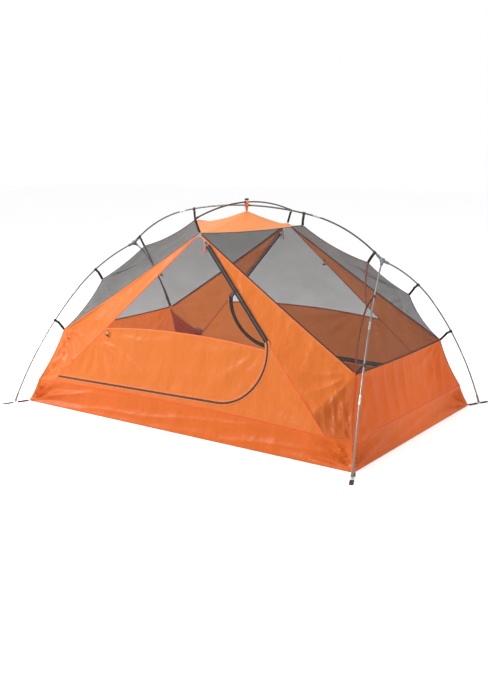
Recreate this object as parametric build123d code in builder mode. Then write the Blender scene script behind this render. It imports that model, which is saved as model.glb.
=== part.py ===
"""Inner tent for two people, hung on a ridge pole, four leg poles and a brow pole.

Millimetres, +Z up, ground at z = 0, origin under the middle of the floor.
X runs along the tent, and the front door is on the -Y side.
The tent looks the same after half a turn about Z, so most pieces are made once and turned.
"""
import os
from math import asin, atan2, cos, degrees, hypot, radians, sin

from build123d import *

# ---- fabric shell: corner places -------------------------------------------------------------
FLOOR_LENGTH = 2100
FLOOR_WIDTH = 1350
SEAM_CORNER_X = 1019                   # top corner of the bathtub floor
SEAM_HEIGHT = 120
SEAM_RISE = 26                         # how much higher the tub seam is at mid wall
DOOR_SEAM_FOOT_X = 880                 # where the seams down from the peak meet the tub seam
EAVE_CORNER = (946, -480, 397)         # lower corner of the mesh
LEG_CORNER = (865, -237, 667)          # mesh corner clipped to the leg
RIDGE_CORNER = (743, 0, 848)           # outer end of the ridge
ROOF_CORNER = (356, 0, 1018)           # end of the orange roof panel
PEAK = (0, -415, 988)                  # top of the door
ROOF_TOP = (0, 0, 1080)
SEAM_CORNER = (                        # on the line of the door wall, which leans inward
    SEAM_CORNER_X,
    -FLOOR_WIDTH / 2 + (FLOOR_WIDTH / 2 + PEAK[1]) * SEAM_HEIGHT / PEAK[2],
    SEAM_HEIGHT,
)

FABRIC = 1.5                           # thickness of the coated fabric solids
MESH = 1.0                             # thickness of the netting solids
SEAM_GAP = 6                           # from a seam line to each panel's edge
BINDING_WIDTH = 9
BINDING_THICKNESS = 1.6
BINDING_TRIM = 16
INSIDE_POINT = (0, 0, 300)             # a place inside the tent, to tell which way is out

# ---- door and zip, measured in the door wall: x along, v up the slope -------------------------
DOOR_FOOT_X = -845                     # bottom of the hinge line
DOOR_BOTTOM_V = 190                    # lowest line of the zip, at the curve
CURVE_START_X = 255                    # where the bottom zip starts to curve up
CURVE_TOP_X = 500                      # where the curve meets the straight zip
CURVE_TOP_RADIUS = 50
MESH_EDGE_SPAN = 1000                  # the netting's lower edge is an arc, from -span to span
MESH_EDGE_MIDDLE_V = 505
MESH_EDGE_END_V = 397
MESH_TO_PANEL = 1                      # from that arc to the netting and to the fabric below it
ZIP_GAP = 1.2                          # half the gap between the two zip tapes
ZIP_TAPE = 12.0                        # from the zip's middle to the tape's edge
PANEL_TO_TAPE = 0.5
TAPE_THICKNESS = 1.2
DOOR_TOP_DROP = 30                     # the door's netting starts this far below the peak
TAPE_START = 88                        # both tapes start below the parked slider
DOOR_TAPE_TO_HINGE = 15.5
FIXED_TAPE_TO_HINGE = 8
BEYOND = 1500                          # longer than any edge of the door, for cutting shapes

# ---- slider and the small pieces that swing ---------------------------------------------------
SLIDER_PARK = 66                       # from the peak to the parked slider
SLIDER_LENGTH = 14
SLIDER_WIDTH = 10
SLIDER_PLATE = 1.2
SLIDER_SLOT = 2.4
SLIDER_NECK = 1.4
SLIDER_CORNER = 3
EYE_WIDTH = 4
EYE_RADIUS = 3.2
EYE_CLEAR = 0.6                        # from an eye to the slider's plate
STALK_WIDTH = 2.4
EYE_BORE = 1.25
PIN_RADIUS = 1.2
CHEEK_THICKNESS = 1.2
CHEEK_CLEARANCE = 0.3
CHEEK_DEPTH = 2.6
EYE_HEIGHT = 6.5                       # eye centre above the wall it stands on
TAB_CLEAR = 1.3                        # from an eye's rim to the tab below it
TAB_THICKNESS = 2.2
PULL_TAB = (16, 6)                     # tabs are length, width
OUTER_TOGGLE_TAB = (20, 5)
INNER_TOGGLE_TAB = (26, 5)
OUTER_CORD = (38, 1.7)                 # cords and toggles are length, radius
INNER_CORD = (22, 1.5)
DOOR_TOGGLE = (24, 4)
TOGGLE_OVERLAP = 0.5                   # how far a toggle sits into its tab
OUTER_TOGGLE_X = -520
INNER_TOGGLE_X = -212
TOGGLE_ROOM = 30                       # from the seam line to the toggle's eye

# ---- poles ------------------------------------------------------------------------------------
POLE_RADIUS = 4.25
RIDGE_TOP_Z = 1110
RIDGE_ARCS = ((2200, 11.0), (812, 43.4))        # bend radius, slope at its end in degrees
LEG_START_SLOPE = 20.0
LEG_ARCS = ((1020, 45.5), (2050, 66.4))
LEG_HEADING = (0.328, 0.945)                    # across the ground, from hub to foot
BROW_TOP_Z = 1127
BROW_RADIUS = 1600
BROW_REACH = 450
HUB_REACH = 823
HUB_CORE = 15
SOCKET_RADIUS = 7.5
SOCKET_LENGTH = 42
POLE_INSET = 13                                 # pole end to hub centre
POLE_GROUND_CLEAR = 22                          # pole end to the ground, along the pole
SECTION_GAP = 0.3                               # between pole sections, inside their sleeve
CROSSING_CLEAR = 1.0                            # half the gap between sections at the crossing
FIT = 0.05
FERRULE_RADIUS = 4.9
FERRULE_LENGTH = 45

# ---- feet, webbing and clips ------------------------------------------------------------------
FOOT_REACH = 792
FOOT_BALL = 7
CAP_RADIUS = 5.6
CAP_OVERLAP = 30                       # length of pole inside the foot cap
TIP_CAP_LENGTH = 22
TIP_PAST_END = 3
RING_RADIUS = 10
RING_WIRE = 1.8
RING_Z = 9
WEBBING_WIDTH = 20
WEBBING = 1.6
WEBBING_TO_CORNER = 6
WEBBING_TO_RING = 14                   # from the ring's middle
TAIL_LENGTH = 58
EYELET_RADIUS = 5
EYELET_TO_END = 14
STRAP_WIDTH = 15
HOOK_BORE = 4.6
HOOK_RADIUS = 7.2
HOOK_LENGTH = 14
HOOK_TAB = 20                          # from the pole's middle to the tab's end
HOOK_TAB_START = 5.2
HOOK_TAB_THICKNESS = 3
PEAK_STRAP_GAP = 3                     # from the brow pole's tip cap to its strap
STRAP_START = 25                       # from the pole's middle to the strap
STRAP_TO_CORNER = 5                    # from the strap's end to the shell's corner
RIDGE_CLIPS = (364, 780)
LEG_CLIPS = (262, 530)

# ---- roof loop and pole crossing --------------------------------------------------------------
SLEEVE_RADIUS = 6.5
SLEEVE_LENGTH = 36
SLEEVE_BORE = 4.42                     # straight bore that clears the bent pole
DISC_RADIUS = 9
DISC_GAP = 0.5
SWIVEL_PIN = 2.5
SWIVEL_PIN_DEPTH = 1                   # how far the pin is rooted in its disc
LOOP_WIDTH = 12
LOOP_HALF_SPAN = 26
LOOP_CORNER = 12
LOOP_TO_ROOF = 3
LOOP_TO_SADDLE = 1.5
TOGGLE_RADIUS = 5
TOGGLE_LENGTH = 30
TOGGLE_CORNER = 2
TOGGLE_TO_LOOP = 0.4

# ---- seams, pockets and label -----------------------------------------------------------------
SEAM_TO_ZIP = 30                       # along X, from the curve's top to the seam below it
HINGE_TAPE_TRIM = 40
TUB_SEAM_WIDTH = 4
TUB_SEAM_LIFT = 3.6                    # above the seam line
TUB_SEAM_MIDDLE_TRIM = 2
TUB_SEAM_FOOT_TRIM = 14
TUB_SEAM_END_TRIM = 12
POCKET_X = 793
POCKET_OFFSET = (-1.8, 6.8, 0)         # the pocket hangs inside the wall
POCKET_GAPS = [14, 8, 8, 16]
LABEL_X = -790                         # where the label's seam is on the door wall
LABEL_BACK = 4
LABEL_SIZE = (46, 60, 0.6)
LABEL_TO_SEAM = 10

# ---- derived ----------------------------------------------------------------------------------
WALL_LEAN = atan2(FLOOR_WIDTH / 2 + PEAK[1], PEAK[2])
PEAK_V = hypot(FLOOR_WIDTH / 2 + PEAK[1], PEAK[2])
DOOR_WALL = Plane(
    origin=(0, -FLOOR_WIDTH / 2, 0),
    x_dir=(1, 0, 0),
    z_dir=(0, -cos(WALL_LEAN), sin(WALL_LEAN)),
)
SEAM_MIDDLE_V = (SEAM_HEIGHT + SEAM_RISE) / cos(WALL_LEAN)
SEAM_FOOT_RISE = SEAM_RISE * (1 - DOOR_SEAM_FOOT_X / SEAM_CORNER_X)
SEAM_FOOT_V = (SEAM_HEIGHT + SEAM_FOOT_RISE) / cos(WALL_LEAN)
ZIP_SLOPE = (PEAK_V - SEAM_FOOT_V) / DOOR_SEAM_FOOT_X
ZIP_ANGLE = degrees(atan2(ZIP_SLOPE, 1))


# ---- helpers ----------------------------------------------------------------------------------
def mirrored(corner, along=1, across=1):
    """A corner of the right front quarter, moved to another quarter by signs."""
    return (corner[0] * along, corner[1] * across, corner[2])


def on_door_wall(x, v, lift=0):
    """Row-frame place of a point given in the door wall, lifted outward from it."""
    return DOOR_WALL.from_local_coords(Vector(x, v, lift))


def seam_line_v(x):
    """Height in the door wall of the seam lines that run down from the peak."""
    return PEAK_V - ZIP_SLOPE * abs(x)


def triangle(a, b, c):
    """Flat face between three points."""
    return Face(Wire.make_polygon([a, b, c], close=True))


def corner_normals(corners, facets):
    """Outward direction at each corner of a faceted sheet."""
    normals = [Vector(0, 0, 0) for _ in corners]
    for a, b, c in facets:
        normal = (corners[b] - corners[a]).cross(corners[c] - corners[a]).normalized()
        for number in (a, b, c):
            normals[number] += normal
    return [normal.normalized() for normal in normals]


def inset_corners(corners, normals, gaps):
    """Move the rim corners inward, by one gap for each edge that starts at a corner."""
    rim = len(gaps)
    moved = list(corners)
    for i in range(rim):
        into = (corners[i] - corners[i - 1 if i else rim - 1]).normalized()
        out = (corners[(i + 1) % rim] - corners[i]).normalized()
        side_in = normals[i].cross(into).normalized()
        side_out = normals[i].cross(out).normalized()
        # solve for the move that is gap_in along side_in and gap_out along side_out
        overlap = side_in.dot(side_out)
        gap_in = gaps[i - 1]
        gap_out = gaps[i]
        scale = 1 - overlap * overlap
        if scale < 0.02:
            moved[i] = corners[i] + side_out * gap_out
            continue
        part_in = (gap_in - gap_out * overlap) / scale
        part_out = (gap_out - gap_in * overlap) / scale
        moved[i] = corners[i] + side_in * part_in + side_out * part_out
    return moved


def faceted_sheet(corners, facets, thickness, gaps):
    """Closed thin solid round a faceted sheet. The rim corners come first, in order."""
    corners = [Vector(*corner) for corner in corners]
    normals = corner_normals(corners, facets)
    corners = inset_corners(corners, normals, gaps)
    outer = [p + n * (thickness / 2) for p, n in zip(corners, normals)]
    inner = [p - n * (thickness / 2) for p, n in zip(corners, normals)]
    faces = []
    edges = []
    for a, b, c in facets:
        faces.append(triangle(outer[a], outer[b], outer[c]))
        faces.append(triangle(inner[a], inner[c], inner[b]))
        edges += [(a, b), (b, c), (c, a)]
    for a, b in edges:
        if (b, a) not in edges:
            faces.append(triangle(outer[a], inner[a], outer[b]))
            faces.append(triangle(outer[b], inner[a], inner[b]))
    return Solid(Shell(faces))


def rod(plane, start, slopes, bend, radius):
    """Round rod that bends downward in a vertical plane, from one slope to another."""
    heading = (cos(radians(slopes[0])), -sin(radians(slopes[0])))
    with BuildPart() as bent:
        with BuildLine(plane) as path:
            JernArc(start=start, tangent=heading, radius=bend, arc_size=slopes[0] - slopes[1])
        with BuildSketch(Plane(origin=path.line @ 0, z_dir=path.line % 0)):
            Circle(radius)
        sweep()
    return bent.part


def place_at_slope(bow, slope):
    """Run and height where a bow has come down to a slope, and the bend radius just past it.

    A bow is (height at its start, slope at its start, arcs), each arc (bend radius, end slope).
    """
    height, here, arcs = bow
    run = 0
    for bend, end_slope in arcs:
        stop = min(slope, end_slope)
        run += bend * (sin(radians(stop)) - sin(radians(here)))
        height -= bend * (cos(radians(here)) - cos(radians(stop)))
        here = stop
        if slope < end_slope:
            break
    return run, height, bend


def slope_at_reach(bow, reach):
    """Slope in degrees where a bow has run out to a reach."""
    _, here, arcs = bow
    run = 0
    for bend, end_slope in arcs[:-1]:
        next_run = run + bend * (sin(radians(end_slope)) - sin(radians(here)))
        if reach < next_run:
            return degrees(asin(sin(radians(here)) + (reach - run) / bend))
        run, here = next_run, end_slope
    return degrees(asin(sin(radians(here)) + (reach - run) / arcs[-1][0]))


def bow_rod(plane, bow, slopes, radius):
    """Rod along one arc of a bow, between two slopes."""
    run, height, bend = place_at_slope(bow, slopes[0])
    return rod(plane, (run, height), slopes, bend, radius)


def turn_of(length, bend):
    """Degrees that a bend turns over a length."""
    return degrees(length / bend)


def half_turn(part):
    return part.rotate(Axis.Z, 180)


def bar_plane(start, end, up):
    """Plane at the middle of a bar, x along it, z near the given up direction."""
    start, end, up = Vector(*start), Vector(*end), Vector(*up)
    along = (end - start).normalized()
    upright = (up - along * up.dot(along)).normalized()
    return Plane(origin=(start + end) * 0.5, x_dir=along, z_dir=upright)


def flat_bar(start, end, up, width, thickness, trim_start=0, trim_end=0):
    """Flat strip between two points, cut short at its ends."""
    start, end = Vector(*start), Vector(*end)
    along = (end - start).normalized()
    start, end = start + along * trim_start, end - along * trim_end
    with BuildPart(bar_plane(start, end, up)) as strip:
        Box((end - start).length, width, thickness)
    return strip.part


# ---- fabric shell: panels ---------------------------------------------------------------------
def faces_out(corners, facets):
    """Whether a sheet's facets run anticlockwise seen from outside the tent."""
    a, b, c = (Vector(*corners[number]) for number in facets[0])
    from_inside = (a + b + c) * (1 / 3) - Vector(*INSIDE_POINT)
    return (b - a).cross(c - a).dot(from_inside) > 0


def reversed_rim(corners, facets, rim):
    """The same sheet with its rim corners numbered the other way round."""
    def new_number(number):
        return rim - number if 0 < number < rim else number

    turned = [corners[0]] + corners[rim - 1:0:-1] + corners[rim:]
    return turned, [(new_number(a), new_number(c), new_number(b)) for a, b, c in facets]


def shell_panel(corners, facets, thickness, gaps=None):
    """Fabric panel of the shell. gaps holds one seam gap for each edge of the rim."""
    gaps = gaps or [SEAM_GAP] * len(corners)
    if not faces_out(corners, facets):
        corners, facets = reversed_rim(corners, facets, len(gaps))
        gaps = gaps[::-1]
    return faceted_sheet(corners, facets, thickness, gaps)


def roof_mesh_panel(along, across):
    corners = [
        mirrored(LEG_CORNER, along, across),
        mirrored(RIDGE_CORNER, along, across),
        mirrored(ROOF_CORNER, along, across),
        mirrored(PEAK, along, across),
        mirrored(EAVE_CORNER, along, across),
    ]
    return shell_panel(corners, [(0, 1, 2), (0, 2, 3), (0, 3, 4)], MESH)


def end_mesh_panel():
    corners = [
        RIDGE_CORNER,
        mirrored(LEG_CORNER, 1, 1),
        mirrored(EAVE_CORNER, 1, 1),
        mirrored(EAVE_CORNER, 1, -1),
        mirrored(LEG_CORNER, 1, -1),
    ]
    return shell_panel(corners, [(0, 1, 4), (1, 2, 3), (1, 3, 4)], MESH)


def end_wall_panel():
    corners = [
        mirrored(EAVE_CORNER, 1, 1),
        mirrored(SEAM_CORNER, 1, 1),
        mirrored(SEAM_CORNER, 1, -1),
        mirrored(EAVE_CORNER, 1, -1),
    ]
    return shell_panel(corners, [(0, 1, 2), (0, 2, 3)], FABRIC)


def side_wall_panel(along):
    """Front wall beside the door: peak, eave corner, tub corner and foot of the door seam."""
    seam_foot = tuple(on_door_wall(along * DOOR_SEAM_FOOT_X, SEAM_FOOT_V))
    corners = [
        PEAK,
        mirrored(EAVE_CORNER, along, 1),
        mirrored(SEAM_CORNER, along, 1),
        seam_foot,
    ]
    door_gap = ZIP_TAPE + PANEL_TO_TAPE
    gaps = [SEAM_GAP, SEAM_GAP, SEAM_GAP, door_gap]
    return shell_panel(corners, [(0, 1, 3), (1, 2, 3)], FABRIC, gaps)


def roof_centre_panel():
    corners = [
        mirrored(PEAK),
        mirrored(ROOF_CORNER),
        mirrored(PEAK, 1, -1),
        mirrored(ROOF_CORNER, -1),
        ROOF_TOP,
    ]
    facets = [(0, 1, 4), (1, 2, 4), (2, 3, 4), (3, 0, 4)]
    return shell_panel(corners, facets, FABRIC, [SEAM_GAP] * 4)


def tub_wall_sketch_plane(corner_a, corner_b, seam_b):
    """Plane of one wall of the bathtub floor, facing outward."""
    a, b, c = Vector(*corner_a), Vector(*corner_b), Vector(*seam_b)
    return Plane(origin=a, x_dir=(b - a), z_dir=(b - a).cross(c - a))


def bathtub_walls():
    """Corners of the four tub walls, each anticlockwise seen from outside."""
    half_length, half_width = FLOOR_LENGTH / 2, FLOOR_WIDTH / 2
    seam_x, seam_y, seam_z = SEAM_CORNER
    middle = tuple(on_door_wall(0, SEAM_MIDDLE_V))
    front = [
        (-half_length, -half_width, 0),
        (half_length, -half_width, 0),
        (seam_x, seam_y, seam_z),
        middle,
        (-seam_x, seam_y, seam_z),
    ]
    right = [
        (half_length, -half_width, 0),
        (half_length, half_width, 0),
        (seam_x, -seam_y, seam_z),
        (seam_x, seam_y, seam_z),
    ]
    return [front, right] + [[mirrored(p, -1, -1) for p in wall] for wall in (front, right)]


os.makedirs("parts", exist_ok=True)

with BuildPart() as bathtub_floor:
    with BuildSketch():
        Rectangle(FLOOR_LENGTH, FLOOR_WIDTH)
    extrude(amount=FABRIC)
    for wall in bathtub_walls():
        wall_plane = tub_wall_sketch_plane(wall[0], wall[1], wall[2])
        with BuildSketch(wall_plane):
            with BuildLine():
                Polyline(*[wall_plane.to_local_coords(Vector(*p)) for p in wall], close=True)
            make_face()
        extrude(amount=-FABRIC)

with BuildPart() as end_wall_right:
    add(end_wall_panel())

with BuildPart() as end_wall_left:
    add(half_turn(end_wall_right.part))

with BuildPart() as end_mesh_right:
    add(end_mesh_panel())

with BuildPart() as end_mesh_left:
    add(half_turn(end_mesh_right.part))

with BuildPart() as roof_mesh_front_right:
    add(roof_mesh_panel(1, 1))

with BuildPart() as roof_mesh_front_left:
    add(roof_mesh_panel(-1, 1))

with BuildPart() as roof_mesh_back_left:
    add(half_turn(roof_mesh_front_right.part))

with BuildPart() as roof_mesh_back_right:
    add(half_turn(roof_mesh_front_left.part))

with BuildPart() as roof_panel:
    add(roof_centre_panel())


# ---- eyes and the pieces that swing in them ---------------------------------------------------
def eye(centre, standing_on):
    """Small eye with its hole along X, on a stalk that reaches the point it stands on."""
    centre, foot = Vector(*centre), Vector(*standing_on)
    with BuildPart() as made:
        with BuildSketch(Plane(origin=centre - Vector(EYE_WIDTH / 2, 0, 0), z_dir=(1, 0, 0))):
            Circle(EYE_RADIUS)
        extrude(amount=EYE_WIDTH)
        add(flat_bar(centre, foot, (1, 0, 0), EYE_RADIUS, STALK_WIDTH))
        with BuildSketch(Plane(origin=centre - Vector(EYE_WIDTH, 0, 0), z_dir=(1, 0, 0))):
            Circle(EYE_BORE)
        extrude(amount=2 * EYE_WIDTH, mode=Mode.SUBTRACT)
    return made.part


def hanging(centre, down, tab, cord=None, toggle=None):
    """Clevis on a pin through an eye, with a tab below it and a cord or toggle on the tab.

    tab is (length, width), cord and toggle are (length, radius).
    """
    inner = EYE_WIDTH / 2 + CHEEK_CLEARANCE
    tab_start = EYE_RADIUS + TAB_CLEAR
    drop = Vector(*down).normalized()
    with BuildPart(Plane(origin=centre, x_dir=(1, 0, 0), z_dir=-drop)) as made:
        for side in (-1, 1):
            with Locations((side * (inner + CHEEK_THICKNESS / 2), 0, -tab_start / 2)):
                Box(CHEEK_THICKNESS, CHEEK_DEPTH, tab_start + CHEEK_DEPTH)
        Cylinder(PIN_RADIUS, 2 * inner, rotation=(0, 90, 0))
        with Locations((0, 0, -tab_start - tab[0] / 2)):
            Box(tab[1], TAB_THICKNESS, tab[0])
        below = tab_start + tab[0]
        if cord:
            with Locations((0, 0, -below - cord[0] / 2)):
                Cylinder(cord[1], cord[0])
        if toggle:
            with Locations((0, 0, -below - toggle[1] + TOGGLE_OVERLAP)):
                Cylinder(toggle[1], toggle[0], rotation=(0, 90, 0))
    return made.part


def slope_down():
    """Down the door wall."""
    return on_door_wall(0, 0) - on_door_wall(0, 1)


# ---- toggles that hold the rolled door ----------------------------------------------------------
outer_toggle_v = seam_line_v(OUTER_TOGGLE_X) - TOGGLE_ROOM
OUTER_TOGGLE_EYE = on_door_wall(OUTER_TOGGLE_X, outer_toggle_v, EYE_HEIGHT)
OUTER_TOGGLE_FOOT = on_door_wall(OUTER_TOGGLE_X, outer_toggle_v, 0)

# the inner toggle hangs from the wall between the hinge line and the roof netting
band_peak, band_eave = Vector(*PEAK), Vector(*mirrored(EAVE_CORNER, -1))
band_foot = on_door_wall(-DOOR_SEAM_FOOT_X, SEAM_FOOT_V)
band_normal = (band_foot - band_peak).cross(band_eave - band_peak).normalized()
if band_normal.Y > 0:
    band_normal = band_normal * -1
inner_toggle_seam = on_door_wall(INNER_TOGGLE_X, seam_line_v(INNER_TOGGLE_X))
toward_eave = band_normal.cross((band_foot - band_peak).normalized()).normalized()
if toward_eave.dot(band_eave - band_peak) < 0:
    toward_eave = toward_eave * -1
INNER_TOGGLE_FOOT = inner_toggle_seam + toward_eave * TOGGLE_ROOM
INNER_TOGGLE_EYE = INNER_TOGGLE_FOOT - band_normal * EYE_HEIGHT

with BuildPart() as front_wall_hinge_side:
    add(side_wall_panel(-1))
    add(eye(INNER_TOGGLE_EYE, INNER_TOGGLE_FOOT))

with BuildPart() as front_wall_zip_side:
    add(side_wall_panel(1))

with BuildPart() as back_wall_hinge_side:
    add(half_turn(front_wall_hinge_side.part))

with BuildPart() as back_wall_zip_side:
    add(half_turn(front_wall_zip_side.part))

with BuildPart() as front_inner_toggle:
    add(hanging(INNER_TOGGLE_EYE, (0, 0, -1), INNER_TOGGLE_TAB, toggle=DOOR_TOGGLE))

with BuildPart() as back_inner_toggle:
    add(half_turn(front_inner_toggle.part))

with BuildPart() as front_outer_toggle:
    add(hanging(OUTER_TOGGLE_EYE, slope_down(), OUTER_TOGGLE_TAB, toggle=DOOR_TOGGLE))

with BuildPart() as back_outer_toggle:
    add(half_turn(front_outer_toggle.part))


# ---- door outline in the door wall ------------------------------------------------------------
def door_outline(grow):
    """Zip line and hinge line of the door, grown outward by an offset."""
    foot_v = seam_line_v(DOOR_FOOT_X)
    top_v = seam_line_v(CURVE_TOP_X)
    with BuildSketch() as outline:
        with BuildLine():
            Polyline((CURVE_TOP_X, top_v), (0, PEAK_V), (DOOR_FOOT_X, foot_v),
                     (CURVE_START_X, DOOR_BOTTOM_V))
            TangentArc((CURVE_START_X, DOOR_BOTTOM_V), (CURVE_TOP_X, top_v), tangent=(1, 0))
        make_face()
        curve_top = outline.vertices().sort_by(Axis.X)[-1]
        fillet(curve_top, CURVE_TOP_RADIUS)
        offset(amount=grow, kind=Kind.INTERSECTION)
    return outline.sketch


def past_hinge_line(margin):
    """Everything beyond the hinge line, and a margin on the door's side of it."""
    angle = radians(ZIP_ANGLE)
    down = Vector(-cos(angle), -sin(angle)) * BEYOND
    away = Vector(-sin(angle), cos(angle))
    near = Vector(0, PEAK_V) - away * margin
    with BuildSketch() as side:
        with BuildLine():
            Polyline(near - down, near + down, near + down + away * BEYOND,
                     near - down + away * BEYOND, close=True)
        make_face()
    return side.sketch


def zip_start(distance):
    """The zip's surroundings from the peak down to a distance along the zip."""
    with BuildSketch() as start:
        with Locations((0, PEAK_V)):
            Rectangle(2 * distance, 4 * ZIP_TAPE, rotation=-ZIP_ANGLE)
    return start.sketch


def above_drop(drop):
    """Everything less than a drop below the peak."""
    with BuildSketch() as top:
        with Locations((0, PEAK_V - drop + BEYOND / 2)):
            Rectangle(2 * BEYOND, BEYOND)
    return top.sketch


def below_mesh_edge(shift):
    """Everything below the netting's lower edge, which bows up a little."""
    left = (-MESH_EDGE_SPAN, MESH_EDGE_END_V + shift)
    right = (MESH_EDGE_SPAN, MESH_EDGE_END_V + shift)
    with BuildSketch() as low:
        with BuildLine():
            ThreePointArc(left, (0, MESH_EDGE_MIDDLE_V + shift), right)
            Polyline(right, (MESH_EDGE_SPAN, 0), (-MESH_EDGE_SPAN, 0), left)
        make_face()
    return low.sketch


PANEL_INSET = ZIP_TAPE + PANEL_TO_TAPE

with BuildPart() as front_door_mesh:
    with BuildSketch(DOOR_WALL):
        add(door_outline(-PANEL_INSET))
        add(below_mesh_edge(MESH_TO_PANEL), mode=Mode.SUBTRACT)
        add(above_drop(DOOR_TOP_DROP), mode=Mode.SUBTRACT)
    extrude(amount=MESH / 2, both=True)

with BuildPart() as front_door_panel:
    with BuildSketch(DOOR_WALL):
        add(door_outline(-PANEL_INSET))
        add(below_mesh_edge(-MESH_TO_PANEL), mode=Mode.INTERSECT)
    extrude(amount=FABRIC / 2, both=True)
    add(eye(OUTER_TOGGLE_EYE, OUTER_TOGGLE_FOOT))

with BuildPart() as front_door_zip:
    with BuildSketch(DOOR_WALL):
        add(door_outline(-ZIP_GAP))
        add(door_outline(-ZIP_TAPE), mode=Mode.SUBTRACT)
        add(past_hinge_line(DOOR_TAPE_TO_HINGE), mode=Mode.SUBTRACT)
        add(zip_start(TAPE_START), mode=Mode.SUBTRACT)
    extrude(amount=TAPE_THICKNESS / 2, both=True)

with BuildPart() as front_tape_fixed:
    with BuildSketch(DOOR_WALL):
        add(door_outline(ZIP_TAPE))
        add(door_outline(ZIP_GAP), mode=Mode.SUBTRACT)
        add(past_hinge_line(FIXED_TAPE_TO_HINGE), mode=Mode.SUBTRACT)
        add(zip_start(TAPE_START), mode=Mode.SUBTRACT)
    extrude(amount=TAPE_THICKNESS / 2, both=True)

with BuildPart() as front_sill:
    with BuildSketch(DOOR_WALL):
        with BuildLine():
            Polyline((-DOOR_SEAM_FOOT_X, SEAM_FOOT_V), (0, SEAM_MIDDLE_V),
                     (DOOR_SEAM_FOOT_X, SEAM_FOOT_V), (0, PEAK_V), close=True)
        make_face()
        offset(amount=-SEAM_GAP, kind=Kind.INTERSECTION)
        add(door_outline(PANEL_INSET), mode=Mode.SUBTRACT)
        add(past_hinge_line(FIXED_TAPE_TO_HINGE), mode=Mode.SUBTRACT)
    extrude(amount=FABRIC / 2, both=True)

with BuildPart() as back_door_mesh:
    add(half_turn(front_door_mesh.part))

with BuildPart() as back_door_panel:
    add(half_turn(front_door_panel.part))

with BuildPart() as back_door_zip:
    add(half_turn(front_door_zip.part))

with BuildPart() as zip_tapes_fixed:
    add(front_tape_fixed.part)
    add(half_turn(front_tape_fixed.part))

with BuildPart() as back_sill:
    add(half_turn(front_sill.part))

# ---- zip slider, on the straight zip just below the peak --------------------------------------
slider_x = SLIDER_PARK * cos(radians(ZIP_ANGLE))
SLIDER_MIDDLE = on_door_wall(slider_x, seam_line_v(slider_x))
slider_ahead = (on_door_wall(slider_x + 1, seam_line_v(slider_x + 1)) - SLIDER_MIDDLE).normalized()
SLIDER_PLANE = Plane(origin=SLIDER_MIDDLE, x_dir=slider_ahead, z_dir=DOOR_WALL.z_dir)
PULL_HEIGHT = SLIDER_SLOT / 2 + SLIDER_PLATE + EYE_RADIUS + EYE_CLEAR
OUTER_PULL_EYE = SLIDER_MIDDLE + DOOR_WALL.z_dir * PULL_HEIGHT
INNER_PULL_EYE = SLIDER_MIDDLE - DOOR_WALL.z_dir * PULL_HEIGHT



def slider_block():
    """Two plates either side of the zip, joined by a neck between the tapes."""
    with BuildPart(SLIDER_PLANE) as block:
        for side in (-1, 1):
            with BuildSketch(SLIDER_PLANE.offset(side * (SLIDER_SLOT + SLIDER_PLATE) / 2)):
                RectangleRounded(SLIDER_LENGTH, SLIDER_WIDTH, SLIDER_CORNER)
            extrude(amount=SLIDER_PLATE / 2, both=True)
        with Locations((-SLIDER_LENGTH / 4, 0, 0)):
            Box(SLIDER_LENGTH / 2, SLIDER_NECK, SLIDER_SLOT)
    return block.part


with BuildPart() as front_zip_slider:
    add(slider_block())
    plate_middle = DOOR_WALL.z_dir * (SLIDER_SLOT + SLIDER_PLATE) / 2
    add(eye(OUTER_PULL_EYE, SLIDER_MIDDLE + plate_middle))
    add(eye(INNER_PULL_EYE, SLIDER_MIDDLE - plate_middle))

with BuildPart() as back_zip_slider:
    add(half_turn(front_zip_slider.part))

with BuildPart() as front_outer_pull:
    add(hanging(OUTER_PULL_EYE, slope_down(), PULL_TAB, cord=OUTER_CORD))

with BuildPart() as back_outer_pull:
    add(half_turn(front_outer_pull.part))

with BuildPart() as front_inner_pull:
    add(hanging(INNER_PULL_EYE, (0, 0, -1), PULL_TAB, cord=INNER_CORD))

with BuildPart() as back_inner_pull:
    add(half_turn(front_inner_pull.part))


# ---- seam bindings and tapes ------------------------------------------------------------------
def strip(start, end, up, trim=BINDING_TRIM, width=BINDING_WIDTH):
    return flat_bar(start, end, up, width, BINDING_THICKNESS, trim, trim)


def quarter_bindings(along, across):
    """Bindings round the edges of one roof netting panel, and down to the tub."""
    peak = mirrored(PEAK, along, across)
    roof = mirrored(ROOF_CORNER, along, across)
    ridge = mirrored(RIDGE_CORNER, along, across)
    leg = mirrored(LEG_CORNER, along, across)
    eave = mirrored(EAVE_CORNER, along, across)
    up_and_out = (along, -across, 1)
    return [
        strip(peak, roof, (0, -across, 3)),
        strip(ridge, leg, up_and_out),
        strip(leg, eave, up_and_out),
        strip(peak, eave, (0, -across, 1)),
    ]


QUARTERS = ((1, 1), (-1, 1), (1, -1), (-1, -1))

with BuildPart() as mesh_bindings:
    for along, across in QUARTERS:
        for piece in quarter_bindings(along, across):
            add(piece)
    for along in (1, -1):
        add(strip(mirrored(ROOF_CORNER, along), mirrored(RIDGE_CORNER, along), (0, 0, 1)))
        add(strip(mirrored(EAVE_CORNER, along, 1), mirrored(EAVE_CORNER, along, -1), (along, 0, 0.3)))

with BuildPart() as wall_seams:
    for along, across in QUARTERS:
        eave = mirrored(EAVE_CORNER, along, across)
        tub = mirrored(SEAM_CORNER, along, across)
        add(strip(eave, tub, (along, -across, 0.3)))
    lower_end = on_door_wall(DOOR_SEAM_FOOT_X, SEAM_FOOT_V)
    upper_x = CURVE_TOP_X + SEAM_TO_ZIP
    upper_end = on_door_wall(upper_x, seam_line_v(upper_x))
    zip_side_seam = strip(upper_end, lower_end, DOOR_WALL.z_dir, BINDING_TRIM / 2, SEAM_GAP)
    add(zip_side_seam)
    add(half_turn(zip_side_seam))

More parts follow.
